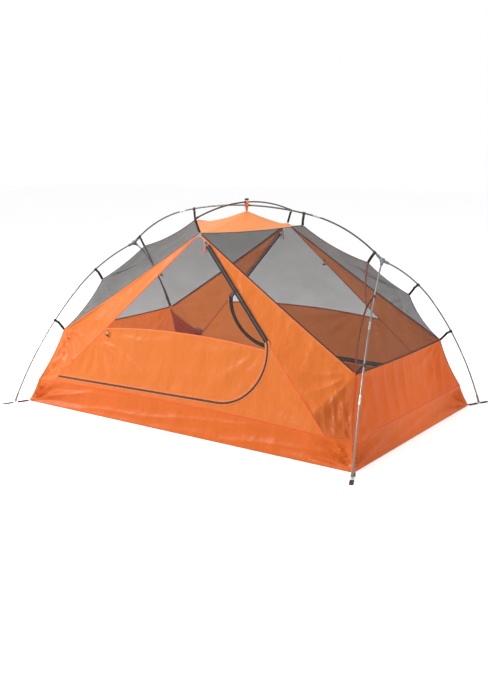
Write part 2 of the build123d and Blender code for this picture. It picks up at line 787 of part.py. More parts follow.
with BuildPart() as hinge_tapes:
    hinge_top = on_door_wall(0, PEAK_V)
    hinge_foot = on_door_wall(-DOOR_SEAM_FOOT_X, SEAM_FOOT_V)
    hinge_tape = flat_bar(hinge_top, hinge_foot, DOOR_WALL.z_dir, BINDING_WIDTH,
                          BINDING_THICKNESS, HINGE_TAPE_TRIM, BINDING_TRIM)
    add(hinge_tape)
    add(half_turn(hinge_tape))

with BuildPart() as tub_seam:
    lift = Vector(0, 0, TUB_SEAM_LIFT)
    for across in (1, -1):
        middle = Vector(*mirrored(tuple(on_door_wall(0, SEAM_MIDDLE_V)), 1, across)) + lift
        for along in (1, -1):
            foot = tuple(on_door_wall(along * DOOR_SEAM_FOOT_X, SEAM_FOOT_V))
            add(flat_bar(middle, Vector(*mirrored(foot, 1, across)) + lift, (0, -across, 0.3),
                         TUB_SEAM_WIDTH, BINDING_THICKNESS,
                         TUB_SEAM_MIDDLE_TRIM, TUB_SEAM_FOOT_TRIM))
    for along in (1, -1):
        ends = [Vector(*mirrored(SEAM_CORNER, along, across)) + lift for across in (1, -1)]
        add(flat_bar(*ends, (along, 0, 0.3), TUB_SEAM_WIDTH, BINDING_THICKNESS,
                     TUB_SEAM_END_TRIM, TUB_SEAM_END_TRIM))

# ---- inner pockets and care label -------------------------------------------------------------
def pocket_panel():
    """Pocket inside the eave corner, from the corner down to the tub seam."""
    top = Vector(*EAVE_CORNER)
    seam = on_door_wall(POCKET_X, seam_line_v(POCKET_X))
    foot = on_door_wall(DOOR_SEAM_FOOT_X, SEAM_FOOT_V)
    tub = Vector(*SEAM_CORNER)
    corners = [tuple(p + Vector(*POCKET_OFFSET)) for p in (top, seam, foot, tub)]
    return shell_panel(corners, [(0, 1, 2), (0, 2, 3)], FABRIC, POCKET_GAPS)


with BuildPart() as corner_pockets:
    add(pocket_panel())
    add(half_turn(pocket_panel()))

label_seam = on_door_wall(LABEL_X, seam_line_v(LABEL_X))
label_out = toward_eave * (LABEL_SIZE[0] / 2 + LABEL_TO_SEAM)
label_place = label_seam + label_out - band_normal * LABEL_BACK

# the label sits on the zip side of the back wall, the mirror image of the front's hinge side
with BuildPart(Plane(
    origin=(label_place.X, -label_place.Y, label_place.Z),
    x_dir=(toward_eave.X, -toward_eave.Y, toward_eave.Z),
    z_dir=(band_normal.X, -band_normal.Y, band_normal.Z),
)) as care_label:
    Box(*LABEL_SIZE)

# ---- poles: each bow runs down and out from its highest point ----------------------------------
RIDGE_BOW = (RIDGE_TOP_Z, 0, RIDGE_ARCS)
HUB_Z = place_at_slope(RIDGE_BOW, slope_at_reach(RIDGE_BOW, HUB_REACH))[1]
LEG_BOW = (HUB_Z, LEG_START_SLOPE, LEG_ARCS)
LEG_KNEE = LEG_ARCS[0][1]
LEG_FOOT_SLOPE = LEG_ARCS[1][1]
LEG_MIDDLE_SLOPE = (LEG_KNEE + LEG_FOOT_SLOPE) / 2
BROW_SLOPE = degrees(asin(BROW_REACH / BROW_RADIUS))
BROW_BOW = (BROW_TOP_Z, 0, ((BROW_RADIUS, BROW_SLOPE + 1),))


def upright_plane(x, y, heading):
    """Vertical plane through a point on the ground, x out along a heading, y upward."""
    length = hypot(*heading)
    across, along = heading[0] / length, heading[1] / length
    return Plane(origin=(x, y, 0), x_dir=(across, along, 0), z_dir=(along, -across, 0))


def ridge_plane(along):
    return upright_plane(0, 0, (along, 0))


def leg_plane(along, across):
    return upright_plane(along * HUB_REACH, 0, (along * LEG_HEADING[0], -across * LEG_HEADING[1]))


def brow_plane(across):
    return upright_plane(0, 0, (0, across))


def ridge_slopes(hub_clear):
    """Slopes at the two ends of each ridge section, leaving room at the hub."""
    inner_bend, inner_slope = RIDGE_ARCS[0]
    outer_bend, outer_slope = RIDGE_ARCS[1]
    return (
        (turn_of(CROSSING_CLEAR, inner_bend), inner_slope),
        (inner_slope + turn_of(SECTION_GAP, outer_bend), outer_slope - turn_of(hub_clear, outer_bend)),
    )


def leg_slopes(hub_clear, ground_clear):
    """Slopes at the two ends of each leg section."""
    upper_bend, lower_bend = LEG_ARCS[0][0], LEG_ARCS[1][0]
    gap = turn_of(SECTION_GAP, lower_bend)
    return (
        (LEG_START_SLOPE + turn_of(hub_clear, upper_bend), LEG_KNEE),
        (LEG_KNEE + gap, LEG_MIDDLE_SLOPE),
        (LEG_MIDDLE_SLOPE + gap, LEG_FOOT_SLOPE - turn_of(ground_clear, lower_bend)),
    )


def leg_pole(along, across):
    with BuildPart() as pole:
        for slopes in leg_slopes(POLE_INSET, POLE_GROUND_CLEAR):
            add(bow_rod(leg_plane(along, across), LEG_BOW, slopes, POLE_RADIUS))
    return pole.part


with BuildPart() as ridge_pole:
    for along in (1, -1):
        for slopes in ridge_slopes(POLE_INSET):
            add(bow_rod(ridge_plane(along), RIDGE_BOW, slopes, POLE_RADIUS))

with BuildPart() as leg_pole_front_right:
    add(leg_pole(1, 1))

with BuildPart() as leg_pole_front_left:
    add(leg_pole(-1, 1))

with BuildPart() as leg_pole_back_right:
    add(leg_pole(1, -1))

with BuildPart() as leg_pole_back_left:
    add(leg_pole(-1, -1))


# ---- ferrules over the joints between pole sections --------------------------------------------
def ferrule(plane, bow, slope):
    """Metal sleeve that starts at a joint between two sections."""
    bend = place_at_slope(bow, slope)[2]
    slopes = (slope + turn_of(SECTION_GAP, bend), slope + turn_of(FERRULE_LENGTH, bend))
    with BuildPart() as sleeve:
        add(bow_rod(plane, bow, slopes, FERRULE_RADIUS))
        add(bow_rod(plane, bow, slopes, POLE_RADIUS + FIT), mode=Mode.SUBTRACT)
    return sleeve.part


with BuildPart() as pole_ferrules:
    for along in (1, -1):
        add(ferrule(ridge_plane(along), RIDGE_BOW, RIDGE_ARCS[0][1]))
    for along, across in QUARTERS:
        for slope in (LEG_KNEE, LEG_MIDDLE_SLOPE):
            add(ferrule(leg_plane(along, across), LEG_BOW, slope))

# ---- hubs at the ridge ends -------------------------------------------------------------------
hub_slope = RIDGE_ARCS[1][1]
ridge_socket = (hub_slope - turn_of(SOCKET_LENGTH, RIDGE_ARCS[1][0]), hub_slope)
leg_socket = (LEG_START_SLOPE, LEG_START_SLOPE + turn_of(SOCKET_LENGTH, LEG_ARCS[0][0]))
bore_start = POLE_INSET - 0.5

with BuildPart() as hubs:
    for along in (1, -1):
        with Locations((along * HUB_REACH, 0, HUB_Z)):
            Sphere(HUB_CORE)
        add(bow_rod(ridge_plane(along), RIDGE_BOW, ridge_socket, SOCKET_RADIUS))
        for across in (1, -1):
            add(bow_rod(leg_plane(along, across), LEG_BOW, leg_socket, SOCKET_RADIUS))
        ridge_bore = ridge_slopes(bore_start)[1]
        add(bow_rod(ridge_plane(along), RIDGE_BOW, ridge_bore, POLE_RADIUS + FIT),
            mode=Mode.SUBTRACT)
        leg_bore = leg_slopes(bore_start, 0)[0]
        for across in (1, -1):
            add(bow_rod(leg_plane(along, across), LEG_BOW, leg_bore, POLE_RADIUS + FIT),
                mode=Mode.SUBTRACT)

# ---- brow pole over the ridge, on a swivel ----------------------------------------------------
swivel_z = (RIDGE_TOP_Z + BROW_TOP_Z) / 2
saddle_disc = (swivel_z + DISC_GAP / 2, BROW_TOP_Z - POLE_RADIUS)
clamp_disc = (RIDGE_TOP_Z + POLE_RADIUS, swivel_z - DISC_GAP / 2)

with BuildPart() as brow_pole:
    for across in (1, -1):
        slopes = (turn_of(CROSSING_CLEAR, BROW_RADIUS), BROW_SLOPE)
        add(bow_rod(brow_plane(across), BROW_BOW, slopes, POLE_RADIUS))

with BuildPart() as brow_tips:
    for across in (1, -1):
        plane = brow_plane(across)
        cap_slope = BROW_SLOPE - turn_of(TIP_CAP_LENGTH, BROW_RADIUS)
        cap_end = BROW_SLOPE + turn_of(TIP_PAST_END, BROW_RADIUS)
        bore_end = BROW_SLOPE + turn_of(SECTION_GAP, BROW_RADIUS)
        run, height, _ = place_at_slope(BROW_BOW, cap_end)
        add(bow_rod(plane, BROW_BOW, (cap_slope, cap_end), CAP_RADIUS))
        with Locations((0, across * run, height)):
            Sphere(CAP_RADIUS + 1)
        add(bow_rod(plane, BROW_BOW, (cap_slope, bore_end), POLE_RADIUS + FIT),
            mode=Mode.SUBTRACT)

with BuildPart() as brow_saddle:
    with Locations((0, 0, BROW_TOP_Z)):
        Cylinder(SLEEVE_RADIUS, SLEEVE_LENGTH, rotation=(90, 0, 0))
    with Locations((0, 0, sum(saddle_disc) / 2)):
        Cylinder(DISC_RADIUS, saddle_disc[1] - saddle_disc[0])
    with Locations((0, 0, sum(saddle_disc) / 2)):
        Cylinder(SWIVEL_PIN + FIT, 2 * SLEEVE_RADIUS, mode=Mode.SUBTRACT)
    with Locations((0, 0, BROW_TOP_Z)):
        Cylinder(SLEEVE_BORE, SLEEVE_LENGTH, rotation=(90, 0, 0), mode=Mode.SUBTRACT)

with BuildPart() as ridge_clamp:
    with Locations((0, 0, RIDGE_TOP_Z)):
        Cylinder(SLEEVE_RADIUS, SLEEVE_LENGTH, rotation=(0, 90, 0))
    with Locations((0, 0, sum(clamp_disc) / 2)):
        Cylinder(DISC_RADIUS, clamp_disc[1] - clamp_disc[0])
    with Locations((0, 0, RIDGE_TOP_Z)):
        Cylinder(SLEEVE_BORE, SLEEVE_LENGTH, rotation=(0, 90, 0), mode=Mode.SUBTRACT)
    pin_bottom = clamp_disc[1] - SWIVEL_PIN_DEPTH
    pin_top = saddle_disc[1] - SECTION_GAP
    with Locations((0, 0, (pin_bottom + pin_top) / 2)):
        Cylinder(SWIVEL_PIN, pin_top - pin_bottom)

# ---- loop and toggle that hold the roof up to the crossing ------------------------------------
LOOP_PLANE = Plane(origin=(0, 0, 0), x_dir=(1, -1, 0), z_dir=(-1, -1, 0))
LOOP_BOTTOM = ROOF_TOP[2] + LOOP_TO_ROOF
LOOP_TOP = BROW_TOP_Z + SLEEVE_RADIUS + LOOP_TO_SADDLE

with BuildPart() as roof_loop:
    with BuildSketch(LOOP_PLANE):
        with Locations((0, (LOOP_BOTTOM + LOOP_TOP) / 2)):
            RectangleRounded(2 * LOOP_HALF_SPAN, LOOP_TOP - LOOP_BOTTOM + 2 * WEBBING,
                             LOOP_CORNER)
            RectangleRounded(2 * (LOOP_HALF_SPAN - WEBBING), LOOP_TOP - LOOP_BOTTOM,
                             LOOP_CORNER - WEBBING, mode=Mode.SUBTRACT)
    extrude(amount=LOOP_WIDTH / 2, both=True)

with BuildPart() as roof_toggle:
    with Locations((0, 0, LOOP_TOP + WEBBING + TOGGLE_RADIUS + TOGGLE_TO_LOOP)):
        Cylinder(TOGGLE_RADIUS, TOGGLE_LENGTH, rotation=(90, 0, 0))
    fillet(roof_toggle.edges(), TOGGLE_CORNER)

# ---- feet -------------------------------------------------------------------------------------
def leg_point(along, across, reach, height):
    """Row-frame point in a leg's plane, given its run from the hub and its height."""
    return leg_plane(along, across).from_local_coords(Vector(reach, height, 0))


with BuildPart() as foot_caps:
    for along, across in QUARTERS:
        plane = leg_plane(along, across)
        bend = LEG_ARCS[1][0]
        cap_slope = LEG_FOOT_SLOPE - turn_of(POLE_GROUND_CLEAR + CAP_OVERLAP, bend)
        cap_end = LEG_FOOT_SLOPE - turn_of(FOOT_BALL, bend)
        bore_end = LEG_FOOT_SLOPE - turn_of(POLE_GROUND_CLEAR - SECTION_GAP, bend)
        add(bow_rod(plane, LEG_BOW, (cap_slope, cap_end), CAP_RADIUS))
        with Locations(leg_point(along, across, FOOT_REACH, FOOT_BALL)):
            Sphere(FOOT_BALL)
        add(bow_rod(plane, LEG_BOW, (cap_slope, bore_end), POLE_RADIUS + FIT),
            mode=Mode.SUBTRACT)

with BuildPart() as foot_rings:
    for along, across in QUARTERS:
        with Locations(leg_point(along, across, FOOT_REACH, RING_Z)):
            Torus(RING_RADIUS, RING_WIRE)

with BuildPart() as corner_straps:
    for along, across in QUARTERS:
        corner = (along * FLOOR_LENGTH / 2, -across * FLOOR_WIDTH / 2, WEBBING)
        ring = leg_point(along, across, FOOT_REACH, WEBBING)
        add(flat_bar(corner, ring, (0, 0, 1), WEBBING_WIDTH, WEBBING,
                     WEBBING_TO_CORNER, WEBBING_TO_RING))


def stake_tail(along, across):
    """Webbing tail with an eyelet, outside the ring and in line with the floor's corner."""
    corner = Vector(along * FLOOR_LENGTH / 2, -across * FLOOR_WIDTH / 2, 0)
    ring = leg_point(along, across, FOOT_REACH, 0)
    out = (ring - corner).normalized()
    start = ring + out * WEBBING_TO_RING + Vector(0, 0, WEBBING / 2)
    end = start + out * TAIL_LENGTH
    with BuildPart(bar_plane(start, end, (0, 0, 1))) as tail:
        Box(TAIL_LENGTH, WEBBING_WIDTH, WEBBING)
        with Locations((TAIL_LENGTH / 2 - EYELET_TO_END, 0, 0)):
            Cylinder(EYELET_RADIUS, 4 * WEBBING, mode=Mode.SUBTRACT)
    return tail.part


with BuildPart() as stake_tails:
    for along, across in QUARTERS:
        add(stake_tail(along, across))


# ---- clips between the poles and the shell ----------------------------------------------------
def clip_places():
    """Pole point, pole direction and shell corner of every clip."""
    places = []
    for along in (1, -1):
        for reach, corner in zip(RIDGE_CLIPS, (ROOF_CORNER, RIDGE_CORNER)):
            slope = slope_at_reach(RIDGE_BOW, reach)
            run, height, _ = place_at_slope(RIDGE_BOW, slope)
            direction = Vector(along * cos(radians(slope)), 0, -sin(radians(slope)))
            places.append((Vector(along * run, 0, height), direction,
                           Vector(*mirrored(corner, along))))
    for along, across in QUARTERS:
        for reach, corner in zip(LEG_CLIPS, (LEG_CORNER, EAVE_CORNER)):
            slope = slope_at_reach(LEG_BOW, reach)
            run, height, _ = place_at_slope(LEG_BOW, slope)
            plane = leg_plane(along, across)
            point = leg_point(along, across, run, height)
            direction = plane.x_dir * cos(radians(slope)) - Vector(0, 0, sin(radians(slope)))
            places.append((point, direction, Vector(*mirrored(corner, along, across))))
    return places


def hook(pole_point, direction, corner):
    """Round hook over the pole with a flat tab toward the shell, for one clip."""
    toward = corner - pole_point
    toward = (toward - direction * toward.dot(direction)).normalized()
    plane = Plane(origin=pole_point, x_dir=toward, z_dir=direction)
    with BuildPart(plane) as made:
        Cylinder(HOOK_RADIUS, HOOK_LENGTH)
        with Locations(((HOOK_TAB_START + HOOK_TAB) / 2, 0, 0)):
            Box(HOOK_TAB - HOOK_TAB_START, HOOK_TAB_THICKNESS, HOOK_LENGTH)
        Cylinder(HOOK_BORE, HOOK_LENGTH * 2, mode=Mode.SUBTRACT)
        with Locations((-HOOK_RADIUS, HOOK_BORE, 0)):
            Box(HOOK_RADIUS, HOOK_RADIUS, HOOK_LENGTH * 2, mode=Mode.SUBTRACT)
    return made.part


def clip_strap(pole_point, direction, corner):
    """Strap from the hook's tab to the shell, lying across the pole's direction."""
    toward = corner - pole_point
    start = pole_point + (toward - direction * toward.dot(direction)).normalized() * STRAP_START
    end = corner - toward.normalized() * STRAP_TO_CORNER
    return flat_bar(start, end, (end - start).cross(direction), STRAP_WIDTH, WEBBING)


with BuildPart() as clip_hooks:
    for place in clip_places():
        add(hook(*place))

with BuildPart() as clip_straps:
    for place in clip_places():
        add(clip_strap(*place))

with BuildPart() as peak_straps:
    for across in (1, -1):
        run, height, _ = place_at_slope(BROW_BOW, BROW_SLOPE)
        tip = (0, -across * run, height - CAP_RADIUS - PEAK_STRAP_GAP)
        add(flat_bar(tip, mirrored(PEAK, 1, across), (0, -across, 0.4), STRAP_WIDTH, WEBBING,
                     0, STRAP_TO_CORNER))

NODES = {
    "bathtub_floor": bathtub_floor,
    "end_wall_right": end_wall_right,
    "end_wall_left": end_wall_left,
    "end_mesh_right": end_mesh_right,
    "end_mesh_left": end_mesh_left,
    "roof_mesh_front_right": roof_mesh_front_right,
    "roof_mesh_front_left": roof_mesh_front_left,
    "roof_mesh_back_left": roof_mesh_back_left,
    "roof_mesh_back_right": roof_mesh_back_right,
    "roof_panel": roof_panel,
    "front_wall_hinge_side": front_wall_hinge_side,
    "front_wall_zip_side": front_wall_zip_side,
    "back_wall_hinge_side": back_wall_hinge_side,
    "back_wall_zip_side": back_wall_zip_side,
    "front_sill": front_sill,
    "back_sill": back_sill,
    "zip_tapes_fixed": zip_tapes_fixed,
    "mesh_bindings": mesh_bindings,
    "wall_seams": wall_seams,
    "hinge_tapes": hinge_tapes,
    "tub_seam": tub_seam,
    "corner_pockets": corner_pockets,
    "care_label": care_label,
    "ridge_pole": ridge_pole,
    "leg_pole_front_right": leg_pole_front_right,
    "leg_pole_front_left": leg_pole_front_left,
    "leg_pole_back_right": leg_pole_back_right,
    "leg_pole_back_left": leg_pole_back_left,
    "pole_ferrules": pole_ferrules,
    "hubs": hubs,
    "ridge_clamp": ridge_clamp,
    "roof_loop": roof_loop,
    "roof_toggle": roof_toggle,
    "foot_caps": foot_caps,
    "foot_rings": foot_rings,
    "corner_straps": corner_straps,
    "stake_tails": stake_tails,
    "clip_hooks": clip_hooks,
    "clip_straps": clip_straps,
    "peak_straps": peak_straps,
    "brow_pole": brow_pole,
    "brow_saddle": brow_saddle,
    "brow_tips": brow_tips,
    "front_door_mesh": front_door_mesh,
    "front_door_panel": front_door_panel,
    "front_door_zip": front_door_zip,
    "back_door_mesh": back_door_mesh,
    "back_door_panel": back_door_panel,
    "back_door_zip": back_door_zip,
    "front_zip_slider": front_zip_slider,
    "back_zip_slider": back_zip_slider,
    "front_outer_pull": front_outer_pull,
    "back_outer_pull": back_outer_pull,
    "front_inner_pull": front_inner_pull,
    "back_inner_pull": back_inner_pull,
    "front_outer_toggle": front_outer_toggle,
    "back_outer_toggle": back_outer_toggle,
    "front_inner_toggle": front_inner_toggle,
    "back_inner_toggle": back_inner_toggle,
}

for node, made in NODES.items():
    made.part.label = node
    export_step(made.part, f"parts/{node}.step")
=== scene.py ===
"""Looks of the inner tent: cloth panels, netting, tapes and webbing round the CAD poles.

Metres, +Z up, in the frame of the CAD model. The front door is on the -Y side. The tent looks the
same after half a turn about Z, so the front pieces are made once and turned for the back.
"""

from math import atan2, cos, hypot, pi, radians, sin

import bmesh
import bpy
import numpy as np
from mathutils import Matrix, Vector, noise
from mathutils.geometry import delaunay_2d_cdt


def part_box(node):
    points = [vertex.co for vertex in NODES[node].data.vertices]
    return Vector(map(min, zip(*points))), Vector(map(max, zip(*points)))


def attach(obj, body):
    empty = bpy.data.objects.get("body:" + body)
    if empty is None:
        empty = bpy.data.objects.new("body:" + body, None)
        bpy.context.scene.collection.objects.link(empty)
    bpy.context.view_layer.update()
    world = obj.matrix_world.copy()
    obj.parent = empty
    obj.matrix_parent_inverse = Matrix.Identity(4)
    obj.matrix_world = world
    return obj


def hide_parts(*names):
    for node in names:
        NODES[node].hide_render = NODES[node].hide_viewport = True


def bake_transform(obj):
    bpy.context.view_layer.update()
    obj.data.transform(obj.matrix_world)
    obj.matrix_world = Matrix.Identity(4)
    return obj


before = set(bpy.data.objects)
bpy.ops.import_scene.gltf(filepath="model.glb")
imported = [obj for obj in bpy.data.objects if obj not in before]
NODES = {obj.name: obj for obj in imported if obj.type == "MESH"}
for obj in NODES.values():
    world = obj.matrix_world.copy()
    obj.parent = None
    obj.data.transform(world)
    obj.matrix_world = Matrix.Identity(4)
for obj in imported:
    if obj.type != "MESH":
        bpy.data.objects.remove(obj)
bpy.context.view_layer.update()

# ---- places on the shell, for the front right quarter ------------------------------------------
FLOOR_X = 1.050
FLOOR_Y = 0.675
FLOOR_Z = 0.0008
PEAK = np.array((0, -0.415, 0.988))
EAVE = np.array((0.946, -0.480, 0.397))
LEG = np.array((0.865, -0.237, 0.667))
RIDGE = np.array((0.743, 0, 0.848))
ROOF = np.array((0.356, 0, 1.018))
INSIDE = np.array((0, 0, 0.3))
SEAM_X = 1.019
SEAM_Z = 0.120
SEAM_RISE = 0.026
SEAM_BOW = 2.2                      # how flat the arch of the tub seam is
SEAM_TURN = (0.006, 0.015)          # how far its ends turn in, toward the end and inward
STEPS = 72

# how far an edge bows from the straight line between its ends
RIDGE_SAG = 0.018
ROOF_SAG = 0.011
UPPER_SAG = 0.011
LOWER_SAG = 0.019
EAVE_SAG = 0.005
CORNER_SAG = 0.010

# height of the folds that fan out of the eave corners into the front and back walls
EAVE_FOLDS = {"hinge_side": 0.017, "zip_side": 0.009}

# ---- door and zip in the door wall: x along, v up the slope -------------------------------------
LEAN = atan2(FLOOR_Y + PEAK[1], PEAK[2])
PEAK_V = hypot(FLOOR_Y + PEAK[1], PEAK[2])
ZIP_SLOPE = 1.0096
HINGE_FOOT_X = -0.845
DOOR_BOTTOM_V = 0.190
CURVE_START_X = 0.255
CURVE_TOP_X = 0.500
CURVE_BLEND = 0.013                 # length of the softened corner at the top of the curve
MESH_EDGE_V = 0.505
MESH_EDGE_RADIUS = 4.684
DOOR_TOP_DROP = 0.022
TAPE_START = 0.088                  # both tapes start below the parked slider
TAPE_EDGE = 0.012
TAPE_INNER = 0.0012
TAPE_THICKNESS = 0.0012
FACING_START = 0.705                # along the zip, where black tape gives way to orange facing
POCKET_SEAM_X = 0.793               # where the pocket's top edge meets the seam

BINDING = 0.009
BINDING_THICKNESS = 0.0016
WEBBING_THICKNESS = 0.0015
SEAM_THICKNESS = 0.0014
TAPE_OUTER = 0.0125                 # far edge of each zip half, from the middle of the zip
COIL = (0.0004, 0.0050)             # near and far edges of each half of the coil
TAIL_HALF = 0.0008                  # half the thickness of a stake tail
TAIL_CORNER = 0.002
EYELET_HOLE = 0.0052
EYELET_RIM = 0.0064
EYELET_TO_END = 0.014
EYELET_SIDES = 24
TOGGLE_RADIUS = 0.004
TOGGLE_LENGTH = 0.0238
ROOF_TOP_Z = 1.080                  # the roof panel's middle, under the loop


# ---- small geometry helpers ---------------------------------------------------------------------
def unit(vectors):
    vectors = np.asarray(vectors, float)
    return vectors / np.linalg.norm(vectors, axis=-1, keepdims=True)


def smooth_step(x):
    x = np.clip(x, 0, 1)
    return x * x * (3 - 2 * x)


def mirrored(point, along=1, across=1):
    """A place of the front right quarter, moved to another quarter by signs."""
    return np.asarray(point) * np.array((along, across, 1))


def half_turn(points):
    return np.asarray(points) * np.array((-1, -1, 1))


def on_wall(x, v, lift=0.0):
    """Place in the frame of a point of the front door wall, lifted outward from it."""
    x, v = np.asarray(x, float), np.asarray(v, float)
    y = -FLOOR_Y + v * sin(LEAN) - lift * cos(LEAN)
    z = v * cos(LEAN) + lift * sin(LEAN)
    return np.stack(np.broadcast_arrays(x, y, z), -1)


WALL_OUT = np.array((0, -cos(LEAN), sin(LEAN)))


def seam_line_v(x):
    """Height in the door wall of the lines that run down from the peak."""
    return PEAK_V - ZIP_SLOPE * np.abs(x)


def tub_seam_v(x):
    """Height in the door wall of the seam between the wall and the tub."""
    bow = np.minimum(np.abs(x) / SEAM_X, 1) ** SEAM_BOW
    return (SEAM_Z + SEAM_RISE * (1 - bow)) / cos(LEAN)


def seam_foot():
    """Distance along X at which a line from the peak meets the tub seam."""
    low, high = 0.8, SEAM_X
    for _ in range(40):
        middle = (low + high) / 2
        if seam_line_v(middle) > tub_seam_v(middle):
            low = middle
        else:
            high = middle
    return low


FOOT_X = seam_foot()


def seam_place(x, lift=0.0):
    """Place of the seam between the front walls and the tub, which turns in at its ends."""
    x = np.asarray(x, float)
    turn = smooth_step((np.abs(x) - FOOT_X) / (SEAM_X - FOOT_X))
    inward = np.stack([-np.sign(x) * SEAM_TURN[0] * turn, SEAM_TURN[1] * turn, 0 * turn], -1)
    return on_wall(x, tub_seam_v(x), lift) + inward


FOOT = seam_place(FOOT_X)
TUB = seam_place(SEAM_X)


def edge(start, end, sag=0.0, toward=None, steps=STEPS):
    """Line of points between two places that bows by sag, toward a place or downward."""
    start, end = np.asarray(start, float), np.asarray(end, float)
    pull = np.array((0, 0, -1.0)) if toward is None else toward - (start + end) / 2
    along = unit(end - start)
    pull = unit(pull - along * (pull @ along))
    t = np.linspace(0, 1, steps + 1)[:, None]
    return start + (end - start) * t + 4 * t * (1 - t) * sag * pull


def quarter_edges(along, across):
    """The curved edges where the panels of one quarter of the shell meet."""
    peak, eave, leg, ridge, roof, tub = (
        mirrored(place, along, across) for place in (PEAK, EAVE, LEG, RIDGE, ROOF, TUB)
    )
    middle = np.array((0.2 * along, 0, 0.5))
    upper = edge(leg, ridge, UPPER_SAG, middle, STEPS // 2)
    lower = edge(eave, leg, LOWER_SAG, middle, STEPS // 2)
    return {
        "eave": edge(eave, peak, EAVE_SAG),
        "ridge": edge(ridge, roof, RIDGE_SAG),
        "outer": np.concatenate([lower, upper[1:]]),
        "roof": edge(peak, roof, ROOF_SAG),
        "corner": edge(tub, eave, CORNER_SAG, middle),
    }


def coons(bottom, top, left, right):
    """Smooth grid of points between four edges. bottom and top run along u, the others along v."""
    u = np.linspace(0, 1, len(bottom))[None, :, None]
    v = np.linspace(0, 1, len(left))[:, None, None]
    corners = (1 - u) * (1 - v) * bottom[0] + u * (1 - v) * bottom[-1]
    corners = corners + (1 - u) * v * top[0] + u * v * top[-1]
    across = (1 - v) * bottom[None] + v * top[None]
    upward = (1 - u) * left[:, None] + u * right[:, None]
    return across + upward - corners


def grid_normals(grid):
    """Direction away from the tent at each point of a grid."""
    rows = np.gradient(grid, axis=0)
    columns = np.gradient(grid, axis=1)
    normals = np.cross(columns, rows)
    normals /= np.maximum(np.linalg.norm(normals, axis=-1, keepdims=True), 1e-9)
    centre = grid.reshape(-1, 3).mean(0)
    outward = (normals.reshape(-1, 3).mean(0) @ (centre - INSIDE)) > 0
    return normals if outward else -normals


def grid_faces(rows, columns):
    number = np.arange(rows * columns).reshape(rows, columns)
    corners = (number[:-1, :-1], number[:-1, 1:], number[1:, 1:], number[1:, :-1])
    return np.stack([c.ravel() for c in corners], -1).tolist()


def flat_pattern(points):
    """Places of a panel's points on its own best flat plane: u level, v up the slope."""
    flat = points.reshape(-1, 3)
    centred = flat - flat.mean(0)
    normal = np.linalg.svd(centred.T @ centred)[2][2]
    level = np.cross((0, 0, 1.0), normal)
    level = np.array((1.0, 0, 0)) if np.linalg.norm(level) < 0.3 else unit(level)
    places = np.stack([centred @ level, centred @ unit(np.cross(normal, level))], -1)
    return places.reshape(*points.shape[:-1], 2)


def shares(rows, columns):
    """How far along its rows and up its columns each point of a grid is, from 0 to 1."""
    v, u = np.mgrid[0:1:rows * 1j, 0:1:columns * 1j]
    return u, v


def edge_fade(rows, columns, width=0.12):
    """0 on the rim of a grid, 1 away from it, so that neighbouring panels keep meeting."""
    u, v = shares(rows, columns)
    return smooth_step(np.minimum.reduce([u, 1 - u, v, 1 - v]) / width)


def soft_noise(places, size, seed):
    """Slow random waves, from -1 to 1, of about the given size."""
    flat = places.reshape(-1, places.shape[-1])
    values = [noise.noise(Vector((x / size, y / size, seed))) for x, y in flat[:, :2]]
    return np.array(values).reshape(places.shape[:-1])


def crests(angle):
    """Waves from -1 to 1 with sharp tops and wide troughs, as in drawn cloth."""
    return 1 - 2 * np.abs(np.sin(angle / 2)) ** 0.8


def fan(places, tip, folds, reach, size, seed=0):
    """Folds that spread out from a tip and die away with distance. folds is per radian."""
    offset = places - np.asarray(tip)
    distance = np.linalg.norm(offset, axis=-1)
    angle = np.arctan2(offset[..., 1], offset[..., 0])
    wander = soft_noise(places, 0.25, seed) * 1.6
    rise = distance / (distance + 0.04)
    return size * rise * np.exp(-distance / reach) * crests(folds * angle + wander + seed)


def folds(places, heading, length, size, seed=0):
    """Long soft folds that run along a heading, given in degrees."""
    angle = radians(heading)
    across = places[..., 0] * -sin(angle) + places[..., 1] * cos(angle)
    wander = soft_noise(places, 0.35, seed) * 1.8
    strength = 0.5 + 0.5 * soft_noise(places, 0.3, seed + 7)
    return size * strength * crests(2 * pi * across / length + wander)


# ---- pieces -------------------------------------------------------------------------------------
class Shape:
    """Parts of one piece while it is built: points, faces, pattern places and finish number."""

    def __init__(self):
        self.parts = []

    def add(self, points, faces, places, finish=0):
        points = np.asarray(points, float).reshape(-1, 3)
        self.parts.append((points, faces, np.asarray(places, float).reshape(-1, 2), finish))
        return self

    def join(self, other):
        self.parts += other.parts
        return self

    def finished(self, finish):
        """The same parts, all with one finish."""
        self.parts = [(*part[:3], finish) for part in self.parts]
        return self

    def turned(self):
        """The same shape after half a turn about Z."""
        other = Shape()
        other.parts = [(half_turn(points), *rest) for points, *rest in self.parts]
        return other


def piece(name, shape, materials, body, replaces=(), outward=False, sharp=40):
    """Blender object from a shape, riding on a body and standing for CAD nodes."""
    points = np.concatenate([part[0] for part in shape.parts])
    places = np.concatenate([part[2] for part in shape.parts])
    faces, finishes, first = [], [], 0
    for part_points, part_faces, _, finish in shape.parts:
        faces += [[first + number for number in face] for face in part_faces]
        finishes += [finish] * len(part_faces)
        first += len(part_points)
    mesh = bpy.data.meshes.new(name)
    mesh.from_pydata(points.tolist(), [], faces)
    layer = mesh.uv_layers.new(name="UVMap")
    corners = np.zeros(len(mesh.loops), int)
    mesh.loops.foreach_get("vertex_index", corners)
    layer.data.foreach_set("uv", places[corners].ravel())
    mesh.polygons.foreach_set("material_index", finishes)
    for material in materials:
        mesh.materials.append(material)
    clean(mesh, outward)
    mesh.polygons.foreach_set("use_smooth", [True] * len(mesh.polygons))
    mesh.set_sharp_from_angle(angle=radians(sharp))
    made = bpy.data.objects.new(name, mesh)
    bpy.context.scene.collection.objects.link(made)
    if body:
        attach(made, body)
    if replaces:
        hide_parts(*replaces)
    return made


